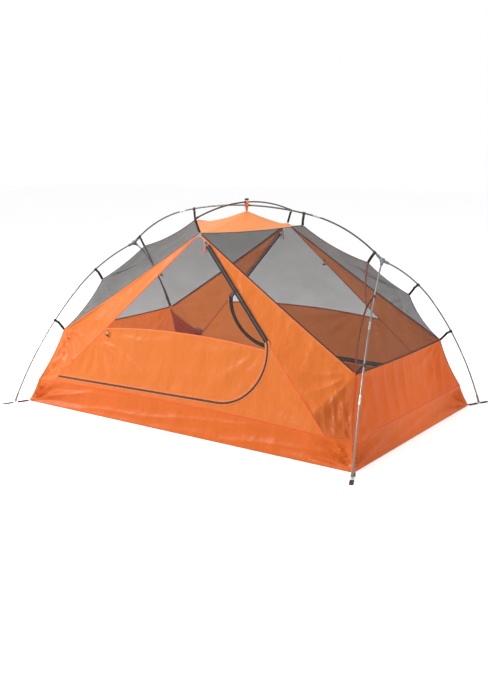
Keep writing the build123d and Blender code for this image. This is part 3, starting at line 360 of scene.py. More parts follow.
def front_and_back(name, shape, materials, body, replaces=(), outward=False):
    """The same piece at the front and, half a turn round, at the back. {} is the side."""
    return [piece(name.format(side), turned, materials, body.format(side),
                  [node.format(side) for node in replaces], outward)
            for side, turned in (("front", shape), ("back", shape.turned()))]


def clean(mesh, outward):
    """Join points that coincide and make the faces agree on which way is out."""
    work = bmesh.new()
    work.from_mesh(mesh)
    bmesh.ops.remove_doubles(work, verts=work.verts, dist=1e-5)
    bmesh.ops.dissolve_degenerate(work, edges=work.edges, dist=1e-6)
    bmesh.ops.recalc_face_normals(work, faces=work.faces)
    if outward:
        total = sum((f.normal * f.calc_area() for f in work.faces), Vector())
        centre = sum((f.calc_center_median() for f in work.faces), Vector()) / len(work.faces)
        if total.dot(centre - Vector(INSIDE)) < 0:
            bmesh.ops.reverse_faces(work, faces=work.faces)
    work.to_mesh(mesh)
    work.free()


def smallest_rectangle(places):
    """Width and length of the smallest rectangle that holds the pattern places."""
    found = []
    for turn in np.radians(np.arange(0, 90, 2)):
        axes = np.array(((cos(turn), -sin(turn)), (sin(turn), cos(turn))))
        found.append(sorted(np.ptp(places @ axes, axis=0).tolist()))
    return min(found, key=lambda sides: sides[0] * sides[1])


def declare_cloth(made):
    """Work out the width and length of a panel's flat pattern; nothing further is done with them.

    The sill is an angle that fills little of its rectangle, so its width is that of its strip.
    """
    places = np.zeros(len(made.data.loops) * 2)
    made.data.uv_layers["UVMap"].data.foreach_get("uv", places)
    width, length = smallest_rectangle(places.reshape(-1, 2))
    area = sum(face.area for face in made.data.polygons)
    width = min(width, area / (0.35 * length))


def ribbon(path, up, width, thickness, shift=0.0):
    """Flat band with softened edges along a path, as points, faces and pattern places."""
    path = np.asarray(path, float)
    along = unit(np.gradient(path, axis=0))
    up = np.broadcast_to(np.asarray(up, float), path.shape)
    up = unit(up - along * np.sum(up * along, axis=1, keepdims=True))
    side = np.cross(along, up)
    half, deep, soft = width / 2, thickness / 2, min(width / 5, thickness / 2)
    profile = [(-half, -deep / 3), (-half + soft, -deep), (half - soft, -deep),
               (half, -deep / 3), (half, deep / 3), (half - soft, deep),
               (-half + soft, deep), (-half, deep / 3)]
    rings = [path + side * (shift + a) + up * b for a, b in profile]
    points = np.stack(rings, 1)
    run = np.concatenate([[0], np.cumsum(np.linalg.norm(np.diff(path, axis=0), axis=1))])
    places = np.stack(np.broadcast_arrays(run[:, None], [a for a, _ in profile]), -1)
    return points, ring_faces(len(path), len(profile)), places


def ring_faces(rings, sides):
    """Faces of a tube made of rings of points, closed at both ends."""
    faces = []
    for ring in range(rings - 1):
        for side in range(sides):
            after = (side + 1) % sides
            first = ring * sides
            faces.append([first + side, first + after, first + sides + after,
                          first + sides + side])
    faces.append(list(range(sides))[::-1])
    faces.append([(rings - 1) * sides + side for side in range(sides)])
    return faces


def tube(path, radius, sides=10):
    """Round tube along a path. radius is one number or one for each point."""
    path = np.asarray(path, float)
    along = unit(np.gradient(path, axis=0))
    radius = np.broadcast_to(radius, len(path))
    across = np.cross(along[0], (0.31, 0.87, 0.42))
    points = []
    for place, heading, size in zip(path, along, radius):
        across = unit(across - heading * (across @ heading))
        other = np.cross(heading, across)
        angles = np.arange(sides) * 2 * pi / sides
        ring = place + size * (np.cos(angles)[:, None] * across + np.sin(angles)[:, None] * other)
        points.append(ring)
    run = np.concatenate([[0], np.cumsum(np.linalg.norm(np.diff(path, axis=0), axis=1))])
    round_it = np.arange(sides) * 2 * pi * float(radius.mean()) / sides
    places = np.stack(np.broadcast_arrays(run[:, None], round_it), -1)
    return np.array(points), ring_faces(len(path), sides), places


def smooth_path(points, steps=8):
    """Rounded line through a few points."""
    points = np.asarray(points, float)
    padded = np.concatenate([[2 * points[0] - points[1]], points, [2 * points[-1] - points[-2]]])
    t = np.linspace(0, 1, steps, endpoint=False)[:, None]
    line = []
    for a, b, c, d in zip(padded, padded[1:], padded[2:], padded[3:]):
        line.append(b + (c - a) * t / 2 + (2 * a - 5 * b + 4 * c - d) * t ** 2 / 2
                    + (3 * b - a - 3 * c + d) * t ** 3 / 2)
    return np.concatenate([*line, points[-1:]])


SIGN_GUIDE = np.array((0.31, 0.87, 0.42))   # no bar lies square to it, so it fixes their signs


def bars(node):
    """Middle, three directions and three sizes of each separate bar of a CAD node, longest first."""
    work = bmesh.new()
    work.from_mesh(NODES[node].data)
    bmesh.ops.remove_doubles(work, verts=work.verts, dist=1e-6)
    work.verts.index_update()
    left = set(work.verts)
    found = []
    while left:
        group, todo = [], [left.pop()]
        while todo:
            vertex = todo.pop()
            group.append(vertex)
            for link in vertex.link_edges:
                other = link.other_vert(vertex)
                if other in left:
                    left.remove(other)
                    todo.append(other)
        group.sort(key=lambda vertex: vertex.index)
        places = np.array([vertex.co for vertex in group], float)
        middle = (places.max(0) + places.min(0)) / 2
        axes = np.linalg.svd((places - places.mean(0)))[2]
        axes = axes * np.where(axes @ SIGN_GUIDE < 0, -1, 1)[:, None]
        spans = (places - middle) @ axes.T
        middle = middle + axes.T @ ((spans.max(0) + spans.min(0)) / 2)
        found.append((middle, axes, np.ptp(spans, axis=0)))
    work.free()
    return sorted(found, key=lambda bar: (round(bar[0][1], 3), round(bar[0][0], 3)))


# ---- door shapes in the door wall ---------------------------------------------------------------
def zip_path():
    """The zip from the peak, round the curve and along the bottom to the hinge line."""
    peak = np.array((0, PEAK_V))
    top = np.array((CURVE_TOP_X, seam_line_v(CURVE_TOP_X)))
    start = np.array((CURVE_START_X, DOOR_BOTTOM_V))
    foot = np.array((HINGE_FOOT_X, seam_line_v(HINGE_FOOT_X)))
    run, rise = top - start
    radius = (run ** 2 + rise ** 2) / (2 * rise)
    centre = start + np.array((0, radius))
    first_angle = atan2(*(top - centre)[::-1]) - CURVE_BLEND / radius
    angles = np.linspace(first_angle, -pi / 2, 60)
    arc = centre + radius * np.stack([np.cos(angles), np.sin(angles)], -1)
    straight_end = top - unit(top - peak) * CURVE_BLEND
    t = np.linspace(0, 1, 9)[:, None]
    corner = (1 - t) ** 2 * straight_end + 2 * t * (1 - t) * top + t ** 2 * arc[0]
    straight = np.linspace(peak, straight_end, 80)
    bottom = np.linspace(start, foot, 100)
    return np.concatenate([straight[:-1], corner[:-1], arc[:-1], bottom])


def offset_path(path, distance):
    """A path in the door wall moved sideways, away from the door if distance is positive."""
    along = unit(np.gradient(path, axis=0))
    return path + np.stack([-along[:, 1], along[:, 0]], -1) * distance


def path_part(path, start, end=None):
    """The part of a path between two distances along it."""
    run = np.concatenate([[0], np.cumsum(np.linalg.norm(np.diff(path, axis=0), axis=1))])
    end = run[-1] if end is None else end
    inside = run[(run > start) & (run < end)]
    wanted = np.concatenate([[start], inside, [end]])
    return np.stack([np.interp(wanted, run, path[:, axis]) for axis in range(2)], -1)


def mesh_edge_v(x):
    """Lower edge of the door's netting, which arches up a little."""
    return MESH_EDGE_V - MESH_EDGE_RADIUS + np.sqrt(MESH_EDGE_RADIUS ** 2 - np.asarray(x) ** 2)


def resampled(outline, spacing):
    """Points along a closed outline, at most a spacing apart."""
    found = []
    for start, end in zip(outline, np.roll(outline, -1, axis=0)):
        count = max(1, int(np.ceil(np.linalg.norm(end - start) / spacing)))
        found.append(np.linspace(start, end, count, endpoint=False))
    return np.concatenate(found)


def distance_to_outline(points, outline):
    """Distance from each point to the nearest side of a closed outline."""
    nearest = np.full(len(points), np.inf)
    for start, end in zip(outline, np.roll(outline, -1, axis=0)):
        line = end - start
        t = np.clip((points - start) @ line / max(line @ line, 1e-12), 0, 1)
        gap = np.linalg.norm(points - start - t[:, None] * line, axis=1)
        nearest = np.minimum(nearest, gap)
    return nearest


def inside_outline(points, outline):
    """Whether each point is inside a closed outline."""
    inside = np.zeros(len(points), bool)
    x, y = points.T
    for (ax, ay), (bx, by) in zip(outline, np.roll(outline, -1, axis=0)):
        crosses = (ay > y) != (by > y)
        at = ax + (y - ay) * (bx - ax) / np.where(by == ay, 1, by - ay)
        inside ^= crosses & (x < at)
    return inside


def cut_cloth(outline, wrinkle, spacing=0.017):
    """Panel cut to an outline in the door wall. wrinkle gives the lift at each place."""
    rim = resampled(np.asarray(outline, float), spacing)
    low, high = rim.min(0), rim.max(0)
    rows = np.arange(low[1], high[1], spacing * 0.87)
    lattice = [(x + spacing / 2 * (number % 2), y) for number, y in enumerate(rows)
               for x in np.arange(low[0], high[0], spacing)]
    lattice = np.array(lattice)
    lattice = lattice[inside_outline(lattice, rim)]
    lattice = lattice[distance_to_outline(lattice, rim) > spacing * 0.55]
    every = [Vector(p) for p in np.concatenate([rim, lattice])]
    points, _, faces, *_ = delaunay_2d_cdt(every, [], [list(range(len(rim)))], 1, 1e-7)
    places = np.array([tuple(p) for p in points])
    fade = smooth_step(distance_to_outline(places, rim) / 0.06)
    lift = wrinkle(places) * fade
    return Shape().add(on_wall(places[:, 0], places[:, 1], lift), [list(f) for f in faces], places)


ZIP = zip_path()


def door_outlines():
    """Outlines of the door's netting and of the fabric below it, up to the middle of the tape."""
    rim = offset_path(ZIP, -TAPE_EDGE / 2)
    top_v = PEAK_V - DOOR_TOP_DROP
    rim = rim[(rim[:, 1] < top_v) & (rim[:, 1] > seam_line_v(HINGE_FOOT_X))]
    upper = rim[rim[:, 1] > mesh_edge_v(rim[:, 0])]
    lower = rim[rim[:, 1] <= mesh_edge_v(rim[:, 0])]
    right_x = lower[0, 0]
    left_x = HINGE_FOOT_X
    while seam_line_v(left_x) < mesh_edge_v(left_x):
        left_x += 0.0005
    x = np.linspace(right_x, left_x, 60)
    divide = np.stack([x, mesh_edge_v(x)], -1)
    hinge_top = (-DOOR_TOP_DROP / ZIP_SLOPE, top_v)
    netting = np.concatenate([[hinge_top], upper, divide])
    fabric = np.concatenate([divide[::-1], lower, [(HINGE_FOOT_X, seam_line_v(HINGE_FOOT_X))]])
    return netting, fabric, divide


def sill_outline():
    """Outline of the fabric between the zip and the tub."""
    x = np.linspace(-FOOT_X, FOOT_X, 120)
    seam = np.stack([x, tub_seam_v(x)], -1)
    rim = offset_path(ZIP, TAPE_EDGE / 2)
    rim = rim[(rim[:, 1] < seam_line_v(rim[:, 0])) & (np.arange(len(rim)) > 60)]
    return np.concatenate([seam, rim])


# ---- materials ----------------------------------------------------------------------------------
def add_node(tree, kind, settings=None, **inputs):
    """Node with its settings and inputs. An underscore in an input's name stands for a space."""
    made = tree.nodes.new(kind)
    for key, value in (settings or {}).items():
        setattr(made, key, value)
    for key, value in inputs.items():
        socket = made.inputs[key.replace("_", " ")]
        if isinstance(value, bpy.types.NodeSocket):
            tree.links.new(value, socket)
        else:
            socket.default_value = value
    return made


def linear(red, green, blue):
    """Linear colour from the usual 0 to 255 screen values."""
    values = [c / 255 for c in (red, green, blue)]
    return tuple(c / 12.92 if c <= 0.04045 else ((c + 0.055) / 1.055) ** 2.4 for c in values) + (1,)


def scaled(colour, factor):
    return tuple(min(1.0, c * factor) for c in colour[:3]) + (1,)


def maths(tree, operation, first, second=0.0, third=0.0, clamp=False):
    made = tree.nodes.new("ShaderNodeMath")
    made.operation, made.use_clamp = operation, clamp
    for number, value in enumerate((first, second, third)):
        if isinstance(value, bpy.types.NodeSocket):
            tree.links.new(value, made.inputs[number])
        else:
            made.inputs[number].default_value = value
    return made.outputs[0]


def blend_colours(tree, factor, first, second):
    made = tree.nodes.new("ShaderNodeMix")
    made.data_type = "RGBA"
    for name, value in (("Factor", factor), ("A", first), ("B", second)):
        kinds = "VALUE" if name == "Factor" else "RGBA"
        socket = next(s for s in made.inputs if s.name == name and s.type == kinds)
        if isinstance(value, bpy.types.NodeSocket):
            tree.links.new(value, socket)
        else:
            socket.default_value = value
    return next(s for s in made.outputs if s.type == "RGBA")


def noise_value(tree, vector, scale, detail=3.0, roughness=0.5):
    return add_node(tree, "ShaderNodeTexNoise", None, Vector=vector, Scale=scale,
                    Detail=detail, Roughness=roughness).outputs["Fac"]


def threads(tree, places, period, axis):
    """0 to 1 waves across one direction of the pattern, one for each thread."""
    split = add_node(tree, "ShaderNodeSeparateXYZ", None, Vector=places)
    turns = maths(tree, "MULTIPLY", split.outputs[axis], 2 * pi / period)
    return maths(tree, "MULTIPLY_ADD", maths(tree, "SINE", turns), 0.5, 0.5)


def bump(tree, height, strength, distance, before=None):
    inputs = {"Height": height, "Strength": strength, "Distance": distance}
    if before is not None:
        inputs["Normal"] = before
    return add_node(tree, "ShaderNodeBump", None, **inputs).outputs["Normal"]


def start_material(name):
    material = bpy.data.materials.new(name)
    material.use_nodes = True
    tree = material.node_tree
    tree.nodes.clear()
    coordinates = tree.nodes.new("ShaderNodeTexCoord")
    return material, tree, coordinates.outputs["UV"], coordinates.outputs["Object"]


def finish_material(tree, surface):
    output = tree.nodes.new("ShaderNodeOutputMaterial")
    tree.links.new(surface, output.inputs["Surface"])


def glossy(tree, tint, roughness, normal, **more):
    """Finish a material with one plain surface."""
    surface = add_node(tree, "ShaderNodeBsdfPrincipled", None, Base_Color=tint,
                       Roughness=roughness, Normal=normal, **more)
    finish_material(tree, surface.outputs[0])


def fabric(name, colour, through, crease=0.5, rough=0.42, seed=0.0):
    """Thin coated ripstop cloth that lets some light through."""
    material, tree, pattern, place = start_material(name)
    moved = add_node(tree, "ShaderNodeVectorMath", {"operation": "ADD"})
    tree.links.new(place, moved.inputs[0])
    moved.inputs[1].default_value = (seed, seed * 0.7, seed * 1.3)
    place = moved.outputs[0]
    clouds = noise_value(tree, place, 2.6, 3.0)
    specks = noise_value(tree, place, 60.0, 2.0)
    grid = maths(tree, "MULTIPLY",
                 maths(tree, "LESS_THAN", threads(tree, pattern, 0.0055, "X"), 0.93),
                 maths(tree, "LESS_THAN", threads(tree, pattern, 0.0055, "Y"), 0.93))
    tint = blend_colours(tree, clouds, scaled(colour, 0.9), scaled(colour, 1.08))
    tint = blend_colours(tree, maths(tree, "MULTIPLY", specks, 0.1), tint, scaled(colour, 0.82))
    tint = blend_colours(tree, grid, scaled(colour, 0.9), tint)
    # Painted shade: the cloth is darkened where the pocket sewn behind the wall would show through
    # as a shadow, by a mask stored on the points.
    pocket_shade_mask = add_node(tree, "ShaderNodeAttribute", {"attribute_name": "pocket_shade_mask"}).outputs["Fac"]
    tint = blend_colours(tree, maths(tree, "MULTIPLY", pocket_shade_mask, 0.55), tint, scaled(colour, 0.5))
    weave = maths(tree, "ADD", threads(tree, pattern, 0.0008, "X"),
                  threads(tree, pattern, 0.0008, "Y"))
    stretched = add_node(tree, "ShaderNodeMapping", None, Vector=place, Scale=(1.0, 1.0, 0.35))
    creases = noise_value(tree, stretched.outputs[0], 11.0, 4.0, 0.55)
    crumple = noise_value(tree, place, 34.0, 3.0, 0.5)
    normal = bump(tree, creases, crease, 0.022)
    normal = bump(tree, crumple, crease * 0.35, 0.004, normal)
    normal = bump(tree, grid, 0.15, 0.0003, normal)
    normal = bump(tree, weave, 0.1, 0.0002, normal)
    shine = maths(tree, "MULTIPLY_ADD", clouds, 0.12, rough - 0.06)
    front = add_node(tree, "ShaderNodeBsdfPrincipled", None, Base_Color=tint, Roughness=shine,
                     Normal=normal, Specular_IOR_Level=0.24, Sheen_Weight=0.03,
                     Sheen_Roughness=0.5)
    glow = blend_colours(tree, clouds, scaled(colour, 1.3), scaled(colour, 1.6))
    back = add_node(tree, "ShaderNodeBsdfTranslucent", None, Color=glow, Normal=normal)
    both = add_node(tree, "ShaderNodeMixShader", None, Fac=through)
    tree.links.new(front.outputs[0], both.inputs[1])
    tree.links.new(back.outputs[0], both.inputs[2])
    finish_material(tree, both.outputs[0])
    return material


def netting(name, colour, cover):
    """Fine see-through net. cover is the share of it that is thread."""
    material, tree, pattern, place = start_material(name)
    clouds = noise_value(tree, place, 5.0, 3.0)
    hatch = maths(tree, "MULTIPLY", threads(tree, pattern, 0.0016, "X"),
                  threads(tree, pattern, 0.0016, "Y"))
    slack = noise_value(tree, place, 7.0, 4.0, 0.6)
    alpha = maths(tree, "ADD", maths(tree, "MULTIPLY", hatch, -0.24),
                  maths(tree, "MULTIPLY", slack, 0.12))
    alpha = maths(tree, "ADD", alpha, cover, clamp=True)
    tint = blend_colours(tree, clouds, scaled(colour, 0.75), scaled(colour, 1.3))
    normal = bump(tree, slack, 0.4, 0.02)
    normal = bump(tree, hatch, 0.2, 0.0004, normal)
    glossy(tree, tint, 0.62, normal, Alpha=alpha, Specular_IOR_Level=0.2, Sheen_Weight=0.08,
           Sheen_Roughness=0.6)
    return material


def woven_band(name, colour, rib=0.0016, rough=0.7, edge_width=None, stitches=None):
    """Webbing or tape with ribs across it, and a stitched line near each edge if asked."""
    material, tree, pattern, place = start_material(name)
    wear = noise_value(tree, place, 90.0, 3.0)
    ribs = threads(tree, pattern, rib, "X")
    cords = threads(tree, pattern, rib * 1.7, "Y")
    tint = blend_colours(tree, wear, scaled(colour, 0.78), scaled(colour, 1.3))
    tint = blend_colours(tree, maths(tree, "MULTIPLY", ribs, 0.35), tint, scaled(colour, 0.6))
    if stitches:
        split = add_node(tree, "ShaderNodeSeparateXYZ", None, Vector=pattern)
        away = maths(tree, "ABSOLUTE", maths(tree, "SUBTRACT",
                                             maths(tree, "ABSOLUTE", split.outputs["Y"]),
                                             edge_width))
        line = maths(tree, "LESS_THAN", away, 0.0005)
        dash = maths(tree, "LESS_THAN", threads(tree, pattern, 0.0032, "X"), 0.72)
        tint = blend_colours(tree, maths(tree, "MULTIPLY", line, dash), tint, stitches)
    relief = maths(tree, "ADD", ribs, maths(tree, "MULTIPLY", cords, 0.4))
    glossy(tree, tint, rough, bump(tree, relief, 0.5, 0.0004), Specular_IOR_Level=0.25,
           Sheen_Weight=0.03, Sheen_Roughness=0.5)
    return material


def zip_coil(name, colour):
    """Nylon coil: small teeth across the zip."""
    material, tree, pattern, place = start_material(name)
    teeth = threads(tree, pattern, 0.0021, "X")
    # Painted highlight on the tops of the teeth and painted shade in the gaps between them,
    # following the same teeth as the bump.
    tint = blend_colours(tree, teeth, scaled(colour, 0.5), scaled(colour, 1.5))
    wear = maths(tree, "MULTIPLY", noise_value(tree, place, 120.0), 0.3)
    rough = maths(tree, "ADD", wear, 0.25)
    glossy(tree, tint, rough, bump(tree, teeth, 0.9, 0.0008))
    return material


def moulded(name, colour, rough=0.45, grain=260.0):
    """Moulded plastic with a fine grain and rubbed patches."""
    material, tree, _, place = start_material(name)
    fine = noise_value(tree, place, grain, 2.0)
    rubbed = noise_value(tree, place, 35.0, 3.0)
    tint = blend_colours(tree, rubbed, scaled(colour, 0.8), scaled(colour, 1.25))
    shine = maths(tree, "ADD", maths(tree, "MULTIPLY", rubbed, 0.25), rough - 0.12)
    glossy(tree, tint, shine, bump(tree, fine, 0.25, 0.0004))
    return material


def anodised(name, colour, rough=0.34):
    """Anodised tube with fine drawn lines, small scuffs and slightly brighter patches."""
    material, tree, _, place = start_material(name)
    drawn = add_node(tree, "ShaderNodeMapping", None, Vector=place, Scale=(0.15, 1.0, 1.0))
    lines = noise_value(tree, drawn.outputs[0], 420.0, 2.0)
    scuffs = noise_value(tree, place, 48.0, 5.0, 0.7)
    worn = maths(tree, "SUBTRACT", scuffs, 0.58, clamp=True)
    worn = maths(tree, "MULTIPLY", worn, 3.0, clamp=True)
    tint = blend_colours(tree, lines, scaled(colour, 0.88), scaled(colour, 1.12))
    tint = blend_colours(tree, worn, tint, scaled(colour, 1.7))
    shine = maths(tree, "ADD", maths(tree, "MULTIPLY", scuffs, 0.25), rough - 0.12)
    glossy(tree, tint, shine, bump(tree, lines, 0.12, 0.0002), Metallic=0.85)
    return material


def plain_floor(name, colour):
    material, tree, _, place = start_material(name)
    clouds = noise_value(tree, place, 1.3, 2.0)
    tint = blend_colours(tree, clouds, scaled(colour, 0.99), scaled(colour, 1.01))
    surface = add_node(tree, "ShaderNodeBsdfPrincipled", None, Base_Color=tint, Roughness=0.8)
    finish_material(tree, surface.outputs[0])
    return material


WALL = fabric("wall_fabric", linear(210, 120, 50), 0.46, 0.7, 0.38, seed=1.0)
# Painted shade: the end walls are the wall orange made darker and deeper, standing in for the shade
# on the ends that face away from the key light.
END = fabric("end_wall_fabric_painted_shade", linear(205, 101, 24), 0.42, 0.7, 0.42, seed=4.0)
# Painted light: the roof panel is the wall orange made lighter, standing in for the light that falls
# on it from above.
TOP = fabric("roof_fabric", linear(226, 148, 84), 0.46, 0.5, 0.38, seed=2.0)
# Painted shade: the tub cloth is the wall orange made darker and redder, standing in for the shade
# on the low tub.
SHELF = fabric("tub_fabric", linear(200, 100, 30), 0.36, 0.6, 0.42, seed=3.0)
POCKET = fabric("pocket_fabric", linear(190, 104, 46), 0.45, 0.7, seed=5.0)
ROOF_NET = netting("roof_netting", linear(34, 30, 28), 0.63)
DOOR_NET = netting("door_netting", linear(48, 45, 43), 0.38)
RUST = woven_band("rust_binding", linear(96, 50, 34), 0.0012, 0.6, 0.003, linear(150, 75, 50))
DARK = woven_band("dark_binding", linear(32, 22, 18), 0.0012, 0.6, 0.003, linear(95, 60, 50))
HEM = woven_band("orange_hem", linear(190, 98, 40), 0.0012, 0.55, 0.003, linear(190, 76, 34))
SEAM = woven_band("red_seam", linear(196, 76, 28), 0.0012, 0.5, 0.002, linear(190, 56, 26))
TAPE = woven_band("zip_tape", linear(20, 16, 16), 0.0010, 0.75, 0.0042, linear(70, 64, 62))
FACING = woven_band("zip_facing", linear(190, 98, 38), 0.0010, 0.5, 0.0038, linear(110, 52, 30))
ZIP_COIL = zip_coil("zip_coil", linear(20, 19, 19))
BLACK_WEB = woven_band("black_webbing", linear(14, 13, 14), 0.0018, 0.8, 0.006, linear(52, 50, 50))
RED_WEB = woven_band("red_webbing", linear(150, 34, 24), 0.0018, 0.7, 0.006, linear(190, 70, 50))
ORANGE_WEB = woven_band("orange_webbing", linear(240, 104, 50), 0.0018, 0.65, 0.004,
                        linear(215, 80, 38))
RED_CORD = woven_band("red_cord", linear(232, 70, 38), 0.0011, 0.6)
RUST_CORD = woven_band("rust_cord", linear(140, 58, 34), 0.0011, 0.6)
BLACK = moulded("black_plastic", linear(24, 24, 25))
WHITE = moulded("white_plastic", linear(205, 205, 200), 0.5)
GREY = moulded("grey_plastic", linear(96, 96, 98), 0.5)
LABEL = woven_band("label_cloth", linear(214, 196, 186), 0.0008, 0.75)
POLE = anodised("pole_dark", linear(78, 74, 72))
LEG_POLE = anodised("pole_light", linear(118, 116, 114))
SLEEVE = anodised("sleeve_metal", linear(165, 163, 160), 0.28)
ZINC = anodised("zinc", linear(120, 112, 106), 0.3)

QUARTERS = {"front_right": (1, 1), "front_left": (-1, 1), "back_left": (-1, -1),
            "back_right": (1, -1)}
EDGES = {name: quarter_edges(*signs) for name, signs in QUARTERS.items()}
ENDS = {"right": ("front_right", "back_right"), "left": ("front_left", "back_left")}


# ---- shell panels -------------------------------------------------------------------------------
def grid_shape(grid, wrinkle, fade_width=0.12, sag=0.0):
    """Shape of a panel from its grid of points. wrinkle gives the lift at each pattern place."""
    rows, columns = grid.shape[:2]
    places = flat_pattern(grid)
    fade = edge_fade(rows, columns, fade_width)
    u, v = shares(rows, columns)
    lift = wrinkle(places) * fade - sag * 16 * u * (1 - u) * v * (1 - v)
    lifted = grid + grid_normals(grid) * lift[..., None]
    return Shape().add(lifted, grid_faces(rows, columns), places)


def roof_netting():
    for seed, (name, edges) in enumerate(EDGES.items()):
        grid = coons(edges["eave"], edges["ridge"], edges["outer"], edges["roof"])
        tips = flat_pattern(grid)
        leg, eave = tips[STEPS // 2, 0], tips[0, 0]

        def wrinkle(places, leg=leg, eave=eave, seed=seed):
            return (fan(places, leg, 14, 0.30, 0.013, seed) + fan(places, eave, 14, 0.25, 0.012)
                    + folds(places, 20, 0.11, 0.0035, seed))

        made = piece(f"roof_netting_{name}", grid_shape(grid, wrinkle, 0.16, 0.012), [ROOF_NET],
                     "canopy", [f"roof_mesh_{name}"], outward=True)
        declare_cloth(made)


def end_netting():
    for side, (front, back) in ENDS.items():
        near, far = EDGES[front]["outer"], EDGES[back]["outer"]
        bottom = edge(near[0], far[0], 0.008)
        top = np.repeat(near[-1:], STEPS + 1, axis=0)
        grid = coons(bottom, top, near, far)
        wrinkle = lambda places: folds(places, 80, 0.15, 0.004, 3)
        made = piece(f"end_netting_{side}", grid_shape(grid, wrinkle, 0.2, 0.008), [ROOF_NET],
                     "canopy", [f"end_mesh_{side}"], outward=True)
        declare_cloth(made)


def roof_top():
    """Orange panel at the top, pulled up in the middle by the loop at the pole crossing."""
    right, left = EDGES["front_right"]["roof"], EDGES["front_left"]["roof"]
    grid = coons(right, EDGES["back_left"]["roof"][::-1], left, EDGES["back_right"]["roof"][::-1])
    u, v = shares(*grid.shape[:2])
    ring = np.maximum(np.abs(2 * u - 1), np.abs(2 * v - 1))
    soft = np.sqrt((2 * u - 1) ** 2 + (2 * v - 1) ** 2 + 0.0004)
    ring = 0.75 * ring + 0.25 * np.minimum(soft, 1)
    middle = grid[grid.shape[0] // 2, grid.shape[1] // 2, 2]
    grid[..., 2] += (ROOF_TOP_Z - middle) * (1 - ring) ** 1.22
    wrinkle = lambda places: (fan(places, (0, 0), 7, 0.25, 0.004, 2)
                              + folds(places, 0, 0.10, 0.0012, 5))
    made = piece("roof_top", grid_shape(grid, wrinkle, 0.2), [TOP], "canopy",
                 ["roof_panel"], outward=True)
    declare_cloth(made)


def end_walls():
    for side, (front, back) in ENDS.items():
        near, far = EDGES[front]["corner"], EDGES[back]["corner"]
        grid = coons(edge(near[0], far[0]), edge(near[-1], far[-1], 0.008), near, far)
        tips = flat_pattern(grid)

        def wrinkle(places, tips=tips):
            return (fan(places, tips[-1, 0], 12, 0.22, 0.012, 1) + folds(places, 84, 0.11, 0.005, 2)
                    + fan(places, tips[-1, -1], 12, 0.22, 0.012, 3)
                    + fan(places, tips[0, 0], 14, 0.20, 0.010, 5)
                    + fan(places, tips[0, -1], 14, 0.20, 0.010, 6))

        made = piece(f"end_wall_cloth_{side}", grid_shape(grid, wrinkle), [END], "canopy",
                     [f"end_wall_{side}"], outward=True)
        declare_cloth(made)


def over_pocket(points):
    """1 where the wall beside the zip has the pocket sewn behind it, 0 elsewhere."""
    seam = on_wall(POCKET_SEAM_X, seam_line_v(POCKET_SEAM_X))
    along = (np.abs(points[..., 0]) - seam[0]) / (EAVE[0] - seam[0])
    hem_z = seam[2] + (EAVE[2] - seam[2]) * along
    return smooth_step((hem_z - points[..., 2]) / 0.012)


def mark_pocket_shade(made):
    """Store on each point how much painted shade of the pocket behind the wall the fabric's colour
    gets.
    """
    places = np.zeros(len(made.data.vertices) * 3)
    made.data.vertices.foreach_get("co", places)
    layer = made.data.attributes.new("pocket_shade_mask", "FLOAT", "POINT")
    layer.data.foreach_set("value", over_pocket(places.reshape(-1, 3)))


def side_walls():
    """The two walls beside each door, from the peak to the eave corner and down to the tub."""
    for kind, signs in (("hinge_side", -1), ("zip_side", 1)):
        edges = quarter_edges(signs, 1)
        foot = mirrored(FOOT, signs)
        x = np.linspace(FOOT_X, SEAM_X, STEPS + 1)
        bottom = seam_place(signs * x)
        grid = coons(bottom, edges["eave"][::-1], edge(foot, PEAK), edges["corner"])
        tips = flat_pattern(grid)
        eave, low, high = tips[-1, -1], tips[0, -1], tips[-1, 0]
        amount = EAVE_FOLDS[kind]
        # Mask of where the pocket is sewn behind the wall: it adds folds here, and marks where
        # painted shade goes into the fabric's colour.
        pocket_shade_mask = over_pocket(grid) if kind == "zip_side" else 0.0

        def wrinkle(places, eave=eave, low=low, high=high, amount=amount, pocket_shade_mask=pocket_shade_mask):
            return (fan(places, eave, 15, 0.34, amount, 2) + fan(places, low, 14, 0.28, 0.012, 4)
                    + fan(places, high, 18, 0.25, 0.006, 1) + folds(places, 62, 0.16, 0.005, 6)
                    + folds(places, 100, 0.045, 0.006, 9) * pocket_shade_mask)

        for made in front_and_back("{}_" + kind + "_cloth", grid_shape(grid, wrinkle), [WALL],
                                   "canopy", ["{}_wall_" + kind], True):
            if kind == "zip_side":
                mark_pocket_shade(made)
            declare_cloth(made)


def sills():
    wrinkle = lambda places: (fan(places, (0.90, 0.12), 16, 0.34, 0.011, 3)
                              + fan(places, (-0.90, 0.12), 16, 0.30, 0.009, 8)
                              + folds(places, 3, 0.12, 0.004, 4))
    for made in front_and_back("{}_sill_cloth", cut_cloth(sill_outline(), wrinkle), [WALL],
                               "canopy", ["{}_sill"], True):
        declare_cloth(made)


